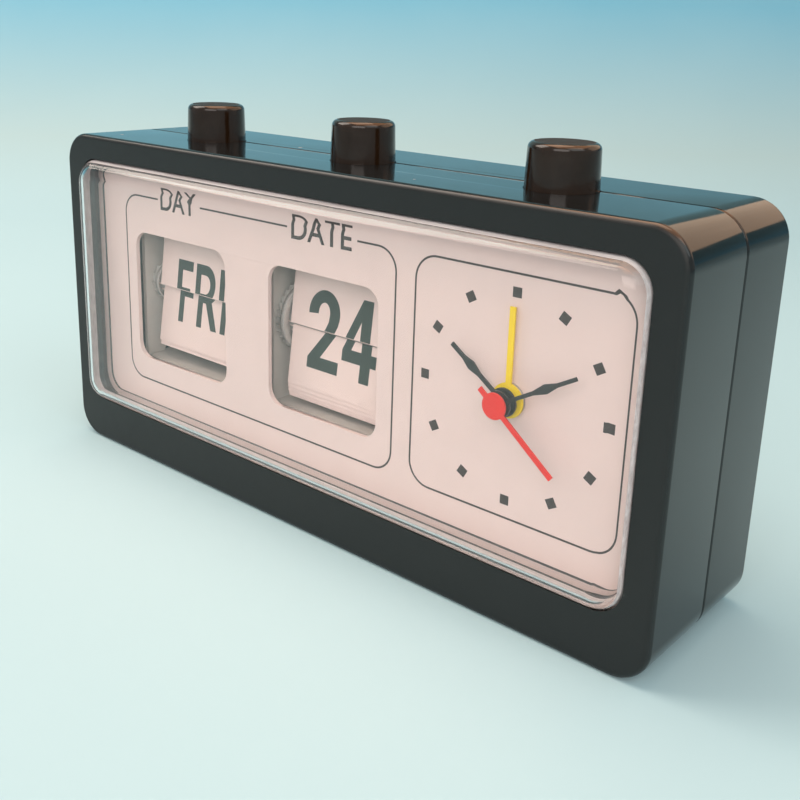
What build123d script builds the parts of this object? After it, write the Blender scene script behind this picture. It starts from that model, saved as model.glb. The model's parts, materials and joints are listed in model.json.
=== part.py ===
from build123d import *
import math
import os

# Flip calendar clock: a wide moulded case with two flip counters and a quartz alarm dial.
# Millimetres. X runs to the right seen from the front, Y runs from front to back, Z is up.
# The origin is on the surface the clock stands on, under the middle of the case.
# A depth is a distance behind the front face of the case.

# Case
CASE_W = 170.0
CASE_H = 80.8
CASE_D = 40.4
CASE_CORNER_R = 7.5
WALL = 2.0
FRONT_WALL = 2.5
FRONT_EDGE_R = 1.2
REAR_EDGE_R = 1.2
SEAM_DEPTH = 21.2
SEAM_CHAMFER = 0.5
TONGUE_T = 1.0
TONGUE_L = 1.5
FIT = 0.15
RUN = 0.05
SEAT = 0.02
AIR = 0.3
OVERRUN = 1.0

# Case screws and the small inner screws
SCREW_INSET = 5.2
BOSS_R = 2.6
SCREW_R = 1.0
SCREW_HEAD_R = 1.8
SCREW_HEAD_T = 1.2
SCREW_GRIP = 10.0
SCREW_SINK = 2.5
INNER_SCREW_R = 0.8
INNER_SCREW_HEAD_R = 1.5
INNER_SCREW_HEAD_T = 0.8
INNER_SCREW_L = 3.2
SLOT_W = 0.5
SLOT_DEEP_SHARE = 0.5

# Lens, a clear tray that stands proud of the front
SIDE_FRAME = 5.9
LOW_FRAME = 11.5
TOP_FRAME = 5.8
OPENING_R = 6.0
LENS_PROUD = 2.9
LENS_T = 1.2
LENS_EDGE_R = 4.4
LENS_FLANGE = 1.6
LENS_FLANGE_T = 1.5

# Dial plate
DIAL_DEPTH = 6.3
DIAL_T = 1.0
DIAL_SCREW_X = 24.0
HOOK_X = 40.0
HOOK_W = 6.0
HOOK_H = 1.4
HOOK_T = 1.0
DIAL_BOSS_R = 2.0
DIAL_BOSS_L = 2.5

# Windows of the two flip counters
DAY_WINDOW_W = 34.3
DATE_WINDOW_W = 32.9
WINDOW_LOW_GAP = 1.0
WINDOW_TOP_GAP = 0.8
WINDOW_R = 4.0

# Clock movement
MOVEMENT_SIZE = 46.0
MOVEMENT_DROP = 4.45
MOVEMENT_T = 16.0
MOVEMENT_R = 3.0
PLATE_T = 1.2
LAYER_PITCH = 1.65
WHEEL_T = 0.8
PINION_T = 1.2
ARBOR_R = 0.4
SET_ARBOR_R = 1.0
PIPE_WALL = 0.45
SECOND_ARBOR_R = 0.45
BUSH_WALL = 1.05
PIVOT_DEEP_SHARE = 0.6

# Hands
HAND_T = 0.4
SECOND_HAND_DEPTH = 1.0
MINUTE_HAND_DEPTH = 2.4
HOUR_HAND_DEPTH = 3.9
ALARM_HAND_DEPTH = 5.3
PIPE_PROUD = 0.25
SECOND_HAND_L = 16.5
SECOND_TAIL_L = 4.3
SECOND_HAND_W = 1.0
SECOND_DISC_R = 2.55
MINUTE_HAND_L = 18.0
MINUTE_HAND_W = 1.8
MINUTE_HUB_R = 2.6
HOUR_HAND_L = 15.0
HOUR_HAND_W = 1.9
HOUR_HUB_R = 2.8
ALARM_HAND_L = 17.9
ALARM_HAND_W = 1.2
ALARM_HUB_R = 3.4
HAND_NECK_SHARE = 0.42
HAND_LOW_SHARE = 0.46
HAND_BELLY_SHARE = 0.62
HAND_HIGH_SHARE = 0.76
SECOND_ANGLE = 128.5
MINUTE_ANGLE = 60.7
HOUR_ANGLE = 305.0
ALARM_ANGLE = 0.0

# Gear train: modules as shares of the movement's size, teeth as counts
MOTION_MODULE_SHARE = 0.00913043
CANNON_TEETH = 12
MINUTE_WHEEL_TEETH = 36
MINUTE_PINION_TEETH = 10
HOUR_WHEEL_TEETH = 40
ALARM_WHEEL_TEETH = 30
ALARM_PINION_TEETH = 20
CENTRE_MODULE_SHARE = 0.00565217
CENTRE_WHEEL_TEETH = 64
THIRD_PINION_TEETH = 8
THIRD_WHEEL_TEETH = 60
SECOND_PINION_TEETH = 8
SECOND_MODULE_SHARE = 0.00782609
SECOND_WHEEL_TEETH = 45
STEP_PINION_TEETH = 9
STEP_MODULE_SHARE = 0.00652174
STEP_WHEEL_TEETH = 48
ROTOR_TEETH = 8
ROTOR_BEARING = 150.0
WHEEL_TOOTH_SHARE = 0.40
PINION_TOOTH_SHARE = 0.36
WHEEL_ADDENDUM_SHARE = 0.85
PINION_ADDENDUM_SHARE = 0.55
DEDENDUM_SHARE = 1.35
TIP_SHARE = 0.35

# Stepping motor and circuit board, their plan as shares of the movement's size
MAGNET_SHARE = 0.0521739
MAGNET_T = 1.2
STATOR_T = 0.9
STATOR_BORE_SHARE = 0.00869565
STATOR_LEG_SHARE = 0.0695652
STATOR_REACH_SHARE = 0.195652
STATOR_NECK_SHARE = 0.0173913
CORE_PLACE_SHARE = 0.417391
CORE_SHARE = 0.0391304
COIL_SHARE = 0.23913
COIL_T = 0.7
BOARD_W_SHARE = 0.73913
BOARD_H_SHARE = 0.173913
BOARD_T = 1.0
BOARD_DROP_SHARE = 0.369565
CRYSTAL_R = 1.0
CRYSTAL_L = 6.0
CRYSTAL_PLACE_SHARE = 0.195652
CHIP_SIZE = 4.0
CHIP_T = 0.6

# Flip counters
HINGE_DEPTH = 12.0
HINGE_LIFT = 2.1
PIN_SETBACK = 0.6
LEAF_W = 30.0
LEAF_SHARE = 0.34102564
LEAF_T = 0.12
LEAF_EDGE = 0.3
LEAF_PIN_R = 0.12
LEAF_PIN_L = 0.9
LEAF_LEAN = 7.0
PACK_LEAN = 7.6
HANG_SWAY = 1.6
GATHER_SHARE = 0.8
GATHER_TURN = 60.0
FAN_LEAD = 8.0
DAY_LEAVES = 14
DAY_PIN_CIRCLE_R = 3.9
DAY_DISC_R = 5.2
DATE_LEAVES = 31
DATE_PIN_CIRCLE_R = 5.8
DATE_DISC_R = 8.4
DISC_GAP = 0.3
DISC_T = 1.3
GROOVE_DEEP = 0.8
AXLE_R = 0.8
RATCHET_T = 1.5
RATCHET_TOOTH_SHARE = 0.12
SIDE_T = 1.2
SIDE_GAP = 0.4
FRAME_BAR_T = 1.5
FRAME_BAR_H = 4.4
FRAME_LIFT = 10.0
FRAME_REAR_SPREAD = 7.0
FRAME_REAR = 4.0
FRAME_FRONT = 3.2
SHELF_D = 10.0
SHELF_T = 0.6
SHELF_GAP = 0.4
DRUM_CORE_SHARE = 0.75
EAR_L = 6.0
DETENT_T = 0.3
DETENT_L = 9.0
DETENT_BEARING = -50.0
DETENT_FOOT = 2.4
DETENT_FOOT_SHARE = 0.75

# Free width left of, between and right of the two counters and the movement, in parts
GAP_SHARES = (15.55, 10.4, 2.35, 3.9)

# Push buttons
BUTTON_DEPTH = 18.2
BUTTON_R = 7.0
BUTTON_TOP_R = 6.7
BUTTON_H = 8.7
BUTTON_EDGE_R = 1.3
BUTTON_WALL = 1.5
BUTTON_FLANGE = 1.2
BUTTON_FLANGE_T = 1.2
BUTTON_TRAVEL = 3.0
STEM_R = 2.0
STEM_BELOW = 4.4
SNOOZE_STEM_BELOW = 0.4
BRIDGE_DROP = 10.4
BRIDGE_T = 1.4
BRIDGE_D = 15.0
BRIDGE_OVERHANG = 10.0
POST_R = 2.2
POST_DEPTH = 13.0
SPRING_R = 3.9
SPRING_WIRE_R = 0.3
SPRING_TURNS = 6
SWITCH_W = 6.0
SWITCH_BUTTON_R = 1.6

# Pushers and pawls between the buttons and the ratchets
PUSHER_T = 2.0
PUSHER_W = 3.0
COLLAR_R = 3.4
LEG_T = 0.7
PAWL_T = 0.6
PAWL_PIN_R = 0.7
PAWL_EYE_R = 1.6
PAWL_W = 1.4
PAWL_RISE = 7.0
PAWL_GAP = 0.3

# Battery and its compartment
BATTERY_R = 7.25
BATTERY_L = 50.5
BATTERY_NUB_R = 2.75
BATTERY_NUB_L = 1.0
BATTERY_EDGE_R = 0.6
BATTERY_OFFSET = 16.0
BATTERY_Z = 13.0
BATTERY_GAP = 0.4
TROUGH_WALL = 1.5
CONTACT_SPACE = 3.2
CONTACT_T = 0.4
CONTACT_W = 9.0
CONTACT_BUMP_R = 2.0
DOOR_LEDGE = 0.9
DOOR_GRIP_W = 1.0
DOOR_GRIP_DEEP = 0.5
DOOR_GRIP_PITCH = 2.2
DOOR_GRIPS = 4
DOOR_GRIP_INSET = 6.0

# Rear controls
KNOB_R = 6.0
KNOB_PROUD = 2.9
KNOB_GAP = 0.3
KNOB_GROOVES = 24
KNOB_GROOVE_R = 0.45
KNOB_EDGE_R = 0.5
KNOB_SOCKET_SHARE = 0.6
STEM_HOLE_GAP = 0.6
ALARM_SWITCH_DROP = 14.8
SLIDER_TRAVEL = 4.0
SLIDER_NUB_W = 3.0
SLIDER_NUB_H = 4.0
SLIDER_NUB_PROUD = 1.2
SLIDER_LIP = 1.4
SLIDER_T = 1.0
SWITCH_BODY_WALL = 1.2
SWITCH_BODY_T = 3.4
BUZZER_OFFSET = 5.9
BUZZER_Z = 14.5
BUZZER_R = 9.0
BUZZER_T = 4.0
GRILLE_HOLE_R = 0.8
GRILLE_RINGS = 2
GRILLE_RING_HOLES = 6
GRILLE_PITCH = 2.8

# Places worked out from the sizes above
FRONT_Y = -CASE_D / 2
CASE_MID_Z = CASE_H / 2
TOP_INNER_Z = CASE_H - WALL
REAR_INNER = CASE_D - WALL
DIAL_BACK = DIAL_DEPTH + DIAL_T
CAVITY_W = CASE_W - 2 * WALL
CAVITY_H = CASE_H - 2 * WALL
CAVITY_R = CASE_CORNER_R - WALL
OPENING_W = CASE_W - 2 * SIDE_FRAME
OPENING_H = CASE_H - LOW_FRAME - TOP_FRAME
OPENING_Z = LOW_FRAME + OPENING_H / 2
POCKET_W = OPENING_W + 2 * (LENS_FLANGE + FIT)
POCKET_H = OPENING_H + 2 * (LENS_FLANGE + FIT)
POCKET_R = OPENING_R + LENS_FLANGE + FIT
LEDGE_LOW_Z = OPENING_Z - POCKET_H / 2
DIAL_SCREW_Z = (WALL + LEDGE_LOW_Z) / 2
BRIDGE_Z = CASE_H - BRIDGE_DROP
STEM_Z = BRIDGE_Z - STEM_BELOW
SNOOZE_STEM_Z = BRIDGE_Z - SNOOZE_STEM_BELOW
FRAME_Z_LOW = LOW_FRAME + FRAME_LIFT
FRAME_Z_HIGH = STEM_Z - BUTTON_TRAVEL - AIR - FRAME_BAR_H / 2
WINDOW_LOW_Z = FRAME_Z_LOW + FRAME_BAR_H / 2 + WINDOW_LOW_GAP
WINDOW_H = FRAME_Z_HIGH - FRAME_BAR_H / 2 - WINDOW_TOP_GAP - WINDOW_LOW_Z
WINDOW_Z = WINDOW_LOW_Z + WINDOW_H / 2
HINGE_Z = WINDOW_Z + HINGE_LIFT
LEAF_H = LEAF_SHARE * (FRAME_Z_HIGH - FRAME_Z_LOW)
DISC_IN = LEAF_W / 2 + DISC_GAP
DISC_OUT = DISC_IN + DISC_T
RATCHET_OUT = DISC_OUT + RATCHET_T
LEFT_IN = RATCHET_OUT + SIDE_GAP
LEFT_OUT = LEFT_IN + SIDE_T
RIGHT_IN = DISC_OUT + SIDE_GAP
RIGHT_OUT = RIGHT_IN + SIDE_T
COUNTER_W = LEFT_OUT + RIGHT_OUT
MOVEMENT_REACH = MOVEMENT_SIZE / 2 + EAR_L
FREE_W = CAVITY_W - 2 * COUNTER_W - 2 * MOVEMENT_REACH
GAPS = [FREE_W * part / sum(GAP_SHARES) for part in GAP_SHARES]
DAY_X = GAPS[0] + LEFT_OUT - CAVITY_W / 2
DATE_X = DAY_X + COUNTER_W + GAPS[1]
CLOCK_X = DATE_X + RIGHT_OUT + GAPS[2] + MOVEMENT_REACH
CLOCK_Z = BRIDGE_Z - MOVEMENT_DROP - MOVEMENT_SIZE / 2
BUTTON_XS = (DAY_X, DATE_X, CLOCK_X)
POST_XS = ((DAY_X + DATE_X) / 2, (DATE_X + CLOCK_X) / 2)
FLANGE_TOP_Z = TOP_INNER_Z - FIT
FLANGE_LOW_Z = FLANGE_TOP_Z - BUTTON_FLANGE_T
BUTTON_TOP_Z = CASE_H + BUTTON_H
BUTTON_ROOF_Z = BUTTON_TOP_Z - BUTTON_WALL
BUTTON_FLANGE_R = BUTTON_R + BUTTON_FLANGE
BRIDGE_TOP_Z = BRIDGE_Z + BRIDGE_T
CORNERS = [(sx * (CASE_W / 2 - SCREW_INSET), CASE_MID_Z + sz * (CASE_MID_Z - SCREW_INSET))
           for sx in (-1, 1) for sz in (-1, 1)]
CLOCK = (CLOCK_X, CLOCK_Z)
MOVEMENT_FRONT = DIAL_BACK
MOVEMENT_INNER = MOVEMENT_FRONT + PLATE_T
MOVEMENT_BACK = MOVEMENT_FRONT + MOVEMENT_T
REAR_PLATE_FRONT = MOVEMENT_BACK - PLATE_T
MOVEMENT_TOP_Z = CLOCK_Z + MOVEMENT_SIZE / 2
BAR_FRONT = DIAL_BACK + DIAL_BOSS_L
BAR_BACK = BAR_FRONT + FRAME_BAR_T
TROUGH_L = BATTERY_L + 2 * CONTACT_SPACE
TROUGH_H = 2 * (BATTERY_R + BATTERY_GAP)
BATTERY_DEPTH = REAR_INNER - BATTERY_GAP - BATTERY_R
TROUGH_FLOOR = BATTERY_DEPTH - BATTERY_R - BATTERY_GAP
DOOR_W = TROUGH_L + 2 * DOOR_LEDGE
DOOR_H = TROUGH_H + 2 * DOOR_LEDGE
BATTERY_X = DAY_X + BATTERY_OFFSET
BUZZER_X = CLOCK_X + BUZZER_OFFSET
ALARM_SWITCH_X = CLOCK_X
ALARM_SWITCH_Z = CASE_H - ALARM_SWITCH_DROP
MOTION_MODULE = MOVEMENT_SIZE * MOTION_MODULE_SHARE
CENTRE_MODULE = MOVEMENT_SIZE * CENTRE_MODULE_SHARE
SECOND_MODULE = MOVEMENT_SIZE * SECOND_MODULE_SHARE
STEP_MODULE = MOVEMENT_SIZE * STEP_MODULE_SHARE
MAGNET_R = MOVEMENT_SIZE * MAGNET_SHARE
STATOR_BORE_GAP = MOVEMENT_SIZE * STATOR_BORE_SHARE
STATOR_LEG = MOVEMENT_SIZE * STATOR_LEG_SHARE
STATOR_REACH = MOVEMENT_SIZE * STATOR_REACH_SHARE
STATOR_NECK = MOVEMENT_SIZE * STATOR_NECK_SHARE
CORE_Z = MOVEMENT_SIZE * CORE_PLACE_SHARE
CORE_W = MOVEMENT_SIZE * CORE_SHARE
COIL_L = MOVEMENT_SIZE * COIL_SHARE
BOARD_W = MOVEMENT_SIZE * BOARD_W_SHARE
BOARD_H = MOVEMENT_SIZE * BOARD_H_SHARE
BOARD_DROP = MOVEMENT_SIZE * BOARD_DROP_SHARE
CRYSTAL_OFFSET = MOVEMENT_SIZE * CRYSTAL_PLACE_SHARE
MOTION_DISTANCE = MOTION_MODULE * (CANNON_TEETH + MINUTE_WHEEL_TEETH) / 2
ALARM_DISTANCE = MOTION_MODULE * (ALARM_WHEEL_TEETH + ALARM_PINION_TEETH) / 2
HOUR_MODULE = 2 * MOTION_DISTANCE / (MINUTE_PINION_TEETH + HOUR_WHEEL_TEETH)
THIRD_DISTANCE = CENTRE_MODULE * (CENTRE_WHEEL_TEETH + THIRD_PINION_TEETH) / 2
THIRD_MODULE = 2 * THIRD_DISTANCE / (THIRD_WHEEL_TEETH + SECOND_PINION_TEETH)
STEP_DISTANCE = SECOND_MODULE * (SECOND_WHEEL_TEETH + STEP_PINION_TEETH) / 2
ROTOR_DISTANCE = STEP_MODULE * (STEP_WHEEL_TEETH + ROTOR_TEETH) / 2
MINUTE_AXIS = (CLOCK_X - MOTION_DISTANCE, CLOCK_Z)
ALARM_AXIS = (CLOCK_X + ALARM_DISTANCE, CLOCK_Z)
THIRD_AXIS = (CLOCK_X, CLOCK_Z - THIRD_DISTANCE)
STEP_AXIS = (CLOCK_X, CLOCK_Z + STEP_DISTANCE)
ROTOR_AXIS = (STEP_AXIS[0] + ROTOR_DISTANCE * math.cos(math.radians(ROTOR_BEARING)),
              STEP_AXIS[1] + ROTOR_DISTANCE * math.sin(math.radians(ROTOR_BEARING)))
MINUTE_PIPE_BORE = SECOND_ARBOR_R + RUN
MINUTE_PIPE_R = MINUTE_PIPE_BORE + PIPE_WALL
HOUR_PIPE_BORE = MINUTE_PIPE_R + RUN
HOUR_PIPE_R = HOUR_PIPE_BORE + PIPE_WALL
ALARM_PIPE_BORE = HOUR_PIPE_R + RUN
ALARM_PIPE_R = ALARM_PIPE_BORE + PIPE_WALL
BUSH_BORE = ALARM_PIPE_R + RUN
BUSH_R = BUSH_BORE + BUSH_WALL
KNOB_BACK = CASE_D + KNOB_PROUD
KNOB_FRONT = CASE_D + KNOB_GAP
KNOB_SOCKET_END = KNOB_FRONT + (KNOB_BACK - KNOB_FRONT) * KNOB_SOCKET_SHARE
FORWARD = (0, -1, 0)


def y_at(depth):
    """Row Y of a depth behind the front face."""
    return FRONT_Y + depth


def facing(depth):
    """A sketch plane at a depth, X to the right and Y up, that extrudes towards the front."""
    return Plane(origin=(0, y_at(depth), 0), x_dir=(1, 0, 0), z_dir=FORWARD)


def layer(index):
    """Middle depth of one wheel layer of the movement, counted from its front plate."""
    return MOVEMENT_INNER + LAYER_PITCH * (index + 1 / 2)


def disc(places, radius, front, back, mode=Mode.ADD):
    """Round bars or holes along Y at XZ places."""
    with BuildSketch(facing(back)) as profile:
        with Locations(*places):
            Circle(radius)
    extrude(profile.sketch, amount=back - front, mode=mode)


def rounded(width, height, radius, middle, front, back, mode=Mode.ADD):
    """A rounded rectangle seen from the front, from one depth to another."""
    with BuildSketch(facing(back)) as profile:
        with Locations(middle):
            RectangleRounded(width, height, radius)
    extrude(profile.sketch, amount=back - front, mode=mode)


def block(width, height, middle, front, back, mode=Mode.ADD):
    """A square-edged rectangle seen from the front, from one depth to another."""
    with BuildSketch(facing(back)) as profile:
        with Locations(middle):
            Rectangle(width, height)
    extrude(profile.sketch, amount=back - front, mode=mode)


def upright(places, radius, low, high, mode=Mode.ADD):
    """Round bars or holes along Z at XY places."""
    with BuildSketch(Plane.XY.offset(low)) as profile:
        with Locations(*places):
            Circle(radius)
    extrude(profile.sketch, amount=high - low, mode=mode)


def crosswise(left, right, outline, mode=Mode.ADD):
    """A YZ outline, given as depth and height points, extruded along X."""
    with BuildSketch(Plane.YZ.offset(left)) as profile:
        with BuildLine():
            Polyline(*[(y_at(depth), height) for depth, height in outline], close=True)
        make_face()
    extrude(profile.sketch, amount=right - left, mode=mode)


def axle(places, radius, left, right, mode=Mode.ADD):
    """Round bars or holes along X at depth and height places."""
    with BuildSketch(Plane.YZ.offset(left)) as profile:
        with Locations(*[(y_at(depth), height) for depth, height in places]):
            Circle(radius)
    extrude(profile.sketch, amount=right - left, mode=mode)


def gear(middle, teeth, module, pinion, phase, depth):
    """A toothed disc with straight flanks and backlash, centred on a layer's depth."""
    pitch_r = module * teeth / 2
    step = 2 * math.pi / teeth
    half = step / 2 * (PINION_TOOTH_SHARE if pinion else WHEEL_TOOTH_SHARE)
    tip_r = pitch_r + module * (PINION_ADDENDUM_SHARE if pinion else WHEEL_ADDENDUM_SHARE)
    root_r = pitch_r - module * DEDENDUM_SHARE
    corners = [(root_r, -half), (pitch_r, -half), (tip_r, -half * TIP_SHARE),
               (tip_r, half * TIP_SHARE), (pitch_r, half), (root_r, half)]
    points = [(middle[0] + radius * math.cos(phase + i * step + turn),
               middle[1] + radius * math.sin(phase + i * step + turn))
              for i in range(teeth) for radius, turn in corners]
    thickness = PINION_T if pinion else WHEEL_T
    with BuildSketch(facing(depth + thickness / 2)) as profile:
        with BuildLine():
            Polyline(*points, close=True)
        make_face()
    extrude(profile.sketch, amount=thickness)


def bearing(start, end):
    """Angle of the line from one gear's axis to the next."""
    return math.atan2(end[1] - start[1], end[0] - start[0])


def space_phase(start, end, teeth):
    """Turns the second gear so that a space faces the first gear's tooth."""
    return bearing(start, end) + math.pi + math.pi / teeth


def save(builder, name):
    """Labels a finished piece and writes its STEP file."""
    builder.part.label = name
    export_step(builder.part, f"parts/{name}.step")


os.makedirs("parts", exist_ok=True)


# Front shell: ring wall, front frame round the lens, ledge for the dial, bosses, posts for the bridge
with BuildPart() as front_shell:
    rounded(CASE_W, CASE_H, CASE_CORNER_R, (0, CASE_MID_Z), 0, SEAM_DEPTH)
    fillet(front_shell.edges().group_by(Axis.Y)[0], FRONT_EDGE_R)
    chamfer(front_shell.edges().group_by(Axis.Y)[-1], SEAM_CHAMFER)
    rounded(OPENING_W, OPENING_H, OPENING_R, (0, OPENING_Z), -OVERRUN, FRONT_WALL, Mode.SUBTRACT)
    rounded(POCKET_W, POCKET_H, POCKET_R, (0, OPENING_Z), FRONT_WALL, DIAL_DEPTH, Mode.SUBTRACT)
    rounded(CAVITY_W, CAVITY_H, CAVITY_R, (0, CASE_MID_Z), DIAL_DEPTH, SEAM_DEPTH + OVERRUN, Mode.SUBTRACT)
    disc(CORNERS, BOSS_R, DIAL_DEPTH, SEAM_DEPTH)
    for hook_x in (-HOOK_X, HOOK_X):
        block(HOOK_W, HOOK_H, (hook_x, TOP_INNER_Z - HOOK_H / 2), DIAL_BACK + RUN, DIAL_BACK + RUN + HOOK_T)
    post_places = [(x, y_at(POST_DEPTH)) for x in POST_XS]
    upright(post_places, POST_R, BRIDGE_TOP_Z, TOP_INNER_Z)
    upright(post_places, INNER_SCREW_R, BRIDGE_TOP_Z, BRIDGE_TOP_Z + INNER_SCREW_L, Mode.SUBTRACT)
    disc(CORNERS, SCREW_R, SEAM_DEPTH - SCREW_GRIP - OVERRUN, SEAM_DEPTH, Mode.SUBTRACT)
    disc([(-DIAL_SCREW_X, DIAL_SCREW_Z), (DIAL_SCREW_X, DIAL_SCREW_Z)], INNER_SCREW_R,
         FRONT_WALL, DIAL_DEPTH, Mode.SUBTRACT)
    upright([(x, y_at(BUTTON_DEPTH)) for x in BUTTON_XS], BUTTON_R + FIT,
            TOP_INNER_Z - OVERRUN, CASE_H + OVERRUN, Mode.SUBTRACT)
save(front_shell, "front_shell")


# Rear shell: ring wall and back, tongue into the front shell, battery trough, holes for the rear controls
with BuildPart() as rear_shell:
    rounded(CASE_W, CASE_H, CASE_CORNER_R, (0, CASE_MID_Z), SEAM_DEPTH, CASE_D)
    fillet(rear_shell.edges().group_by(Axis.Y)[-1], REAR_EDGE_R)
    chamfer(rear_shell.edges().group_by(Axis.Y)[0], SEAM_CHAMFER)
    rounded(CAVITY_W, CAVITY_H, CAVITY_R, (0, CASE_MID_Z), SEAM_DEPTH - OVERRUN, REAR_INNER, Mode.SUBTRACT)
    rounded(CAVITY_W, CAVITY_H, CAVITY_R, (0, CASE_MID_Z), SEAM_DEPTH, SEAM_DEPTH + TONGUE_L)
    rounded(CAVITY_W - 2 * FIT, CAVITY_H - 2 * FIT, CAVITY_R - FIT, (0, CASE_MID_Z),
            SEAM_DEPTH - TONGUE_L, SEAM_DEPTH)
    tongue_in = FIT + TONGUE_T
    rounded(CAVITY_W - 2 * tongue_in, CAVITY_H - 2 * tongue_in, CAVITY_R - tongue_in, (0, CASE_MID_Z),
            SEAM_DEPTH - TONGUE_L - OVERRUN, SEAM_DEPTH + TONGUE_L, Mode.SUBTRACT)
    disc(CORNERS, BOSS_R + FIT, SEAM_DEPTH - TONGUE_L, SEAM_DEPTH, Mode.SUBTRACT)
    disc(CORNERS, BOSS_R, SEAM_DEPTH, REAR_INNER)
    disc(CORNERS, SCREW_R + FIT, SEAM_DEPTH - OVERRUN, CASE_D, Mode.SUBTRACT)
    disc(CORNERS, SCREW_HEAD_R + FIT, CASE_D - SCREW_SINK, CASE_D + OVERRUN, Mode.SUBTRACT)
    block(TROUGH_L + 2 * TROUGH_WALL, TROUGH_H + 2 * TROUGH_WALL, (BATTERY_X, BATTERY_Z),
          TROUGH_FLOOR - TROUGH_WALL, REAR_INNER)
    block(TROUGH_L, TROUGH_H, (BATTERY_X, BATTERY_Z), TROUGH_FLOOR, CASE_D + OVERRUN, Mode.SUBTRACT)
    block(DOOR_W, DOOR_H, (BATTERY_X, BATTERY_Z), REAR_INNER, CASE_D + OVERRUN, Mode.SUBTRACT)
    disc([MINUTE_AXIS, ALARM_AXIS], SET_ARBOR_R + STEM_HOLE_GAP, REAR_INNER - OVERRUN, CASE_D + OVERRUN,
         Mode.SUBTRACT)
    block(SLIDER_NUB_W + SLIDER_TRAVEL + 2 * FIT, SLIDER_NUB_H + 2 * FIT,
          (ALARM_SWITCH_X, ALARM_SWITCH_Z), REAR_INNER - OVERRUN, CASE_D + OVERRUN, Mode.SUBTRACT)
    with BuildSketch(facing(CASE_D + OVERRUN)) as grille:
        with Locations((BUZZER_X, BUZZER_Z)):
            Circle(GRILLE_HOLE_R)
            for ring in range(1, GRILLE_RINGS + 1):
                with PolarLocations(ring * GRILLE_PITCH, ring * GRILLE_RING_HOLES):
                    Circle(GRILLE_HOLE_R)
    extrude(grille.sketch, amount=WALL + 2 * OVERRUN, mode=Mode.SUBTRACT)
    button_places = [(x, y_at(BUTTON_DEPTH)) for x in BUTTON_XS]
    upright(button_places, BUTTON_R + FIT, TOP_INNER_Z - OVERRUN, CASE_H + OVERRUN, Mode.SUBTRACT)
    upright(button_places, BUTTON_FLANGE_R + FIT, BRIDGE_TOP_Z, TOP_INNER_Z, Mode.SUBTRACT)
save(rear_shell, "rear_shell")


# Four screws that pull the rear shell onto the front shell
with BuildPart() as case_screws:
    head_seat = CASE_D - SCREW_SINK
    disc(CORNERS, SCREW_R - SEAT, SEAM_DEPTH - SCREW_GRIP, head_seat)
    disc(CORNERS, SCREW_HEAD_R, head_seat, head_seat + SCREW_HEAD_T)
    slot_floor = head_seat + SCREW_HEAD_T * SLOT_DEEP_SHARE
    for corner in CORNERS:
        block(2 * SCREW_HEAD_R, SLOT_W, corner, slot_floor, head_seat + SCREW_HEAD_T, Mode.SUBTRACT)
        block(SLOT_W, 2 * SCREW_HEAD_R, corner, slot_floor, head_seat + SCREW_HEAD_T, Mode.SUBTRACT)
save(case_screws, "case_screws")


# Clear lens: a tray, rounded along its front edge outside and in, with a flange behind the front wall
LENS_W = OPENING_W - 2 * FIT
LENS_H = OPENING_H - 2 * FIT
LENS_R = OPENING_R - FIT
with BuildPart() as lens_hollow:
    rounded(LENS_W - 2 * LENS_T, LENS_H - 2 * LENS_T, LENS_R - LENS_T, (0, OPENING_Z),
            LENS_T - LENS_PROUD, DIAL_DEPTH + OVERRUN)
    fillet(lens_hollow.edges().group_by(Axis.Y)[0], LENS_EDGE_R - LENS_T)
with BuildPart() as lens:
    rounded(LENS_W, LENS_H, LENS_R, (0, OPENING_Z), -LENS_PROUD, DIAL_DEPTH)
    fillet(lens.edges().group_by(Axis.Y)[0], LENS_EDGE_R)
    rounded(OPENING_W + 2 * LENS_FLANGE, OPENING_H + 2 * LENS_FLANGE, OPENING_R + LENS_FLANGE,
            (0, OPENING_Z), FRONT_WALL, FRONT_WALL + LENS_FLANGE_T)
    add(lens_hollow.part, mode=Mode.SUBTRACT)
save(lens, "lens")


# Dial plate: two windows, the hole for the bush, bosses for the flip frames and the movement
FRAME_SCREWS = [(x, z) for x in (DAY_X, DATE_X) for z in (FRAME_Z_LOW, FRAME_Z_HIGH)]
EAR_X = MOVEMENT_SIZE / 2 + EAR_L / 2
EAR_SCREWS = [(CLOCK_X - EAR_X, CLOCK_Z), (CLOCK_X + EAR_X, CLOCK_Z)]
DIAL_SCREWS = [(-DIAL_SCREW_X, DIAL_SCREW_Z), (DIAL_SCREW_X, DIAL_SCREW_Z)]
with BuildPart() as dial_plate:
    rounded(CAVITY_W - 2 * FIT, CAVITY_H - 2 * FIT, CAVITY_R - FIT, (0, CASE_MID_Z), DIAL_DEPTH, DIAL_BACK)
    disc(FRAME_SCREWS + EAR_SCREWS, DIAL_BOSS_R, DIAL_BACK, BAR_FRONT)
    disc(FRAME_SCREWS + EAR_SCREWS, INNER_SCREW_R, DIAL_BACK, BAR_FRONT, Mode.SUBTRACT)
    disc(CORNERS, BOSS_R + FIT, DIAL_DEPTH - OVERRUN, DIAL_BACK, Mode.SUBTRACT)
    disc(DIAL_SCREWS, INNER_SCREW_R + FIT, DIAL_DEPTH - OVERRUN, DIAL_BACK, Mode.SUBTRACT)
    disc([CLOCK], BUSH_R + FIT, DIAL_DEPTH - OVERRUN, DIAL_BACK, Mode.SUBTRACT)
    for window_x, window_w in ((DAY_X, DAY_WINDOW_W), (DATE_X, DATE_WINDOW_W)):
        rounded(window_w, WINDOW_H, WINDOW_R, (window_x, WINDOW_Z), DIAL_DEPTH - OVERRUN, DIAL_BACK,
                Mode.SUBTRACT)
save(dial_plate, "dial_plate")


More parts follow.
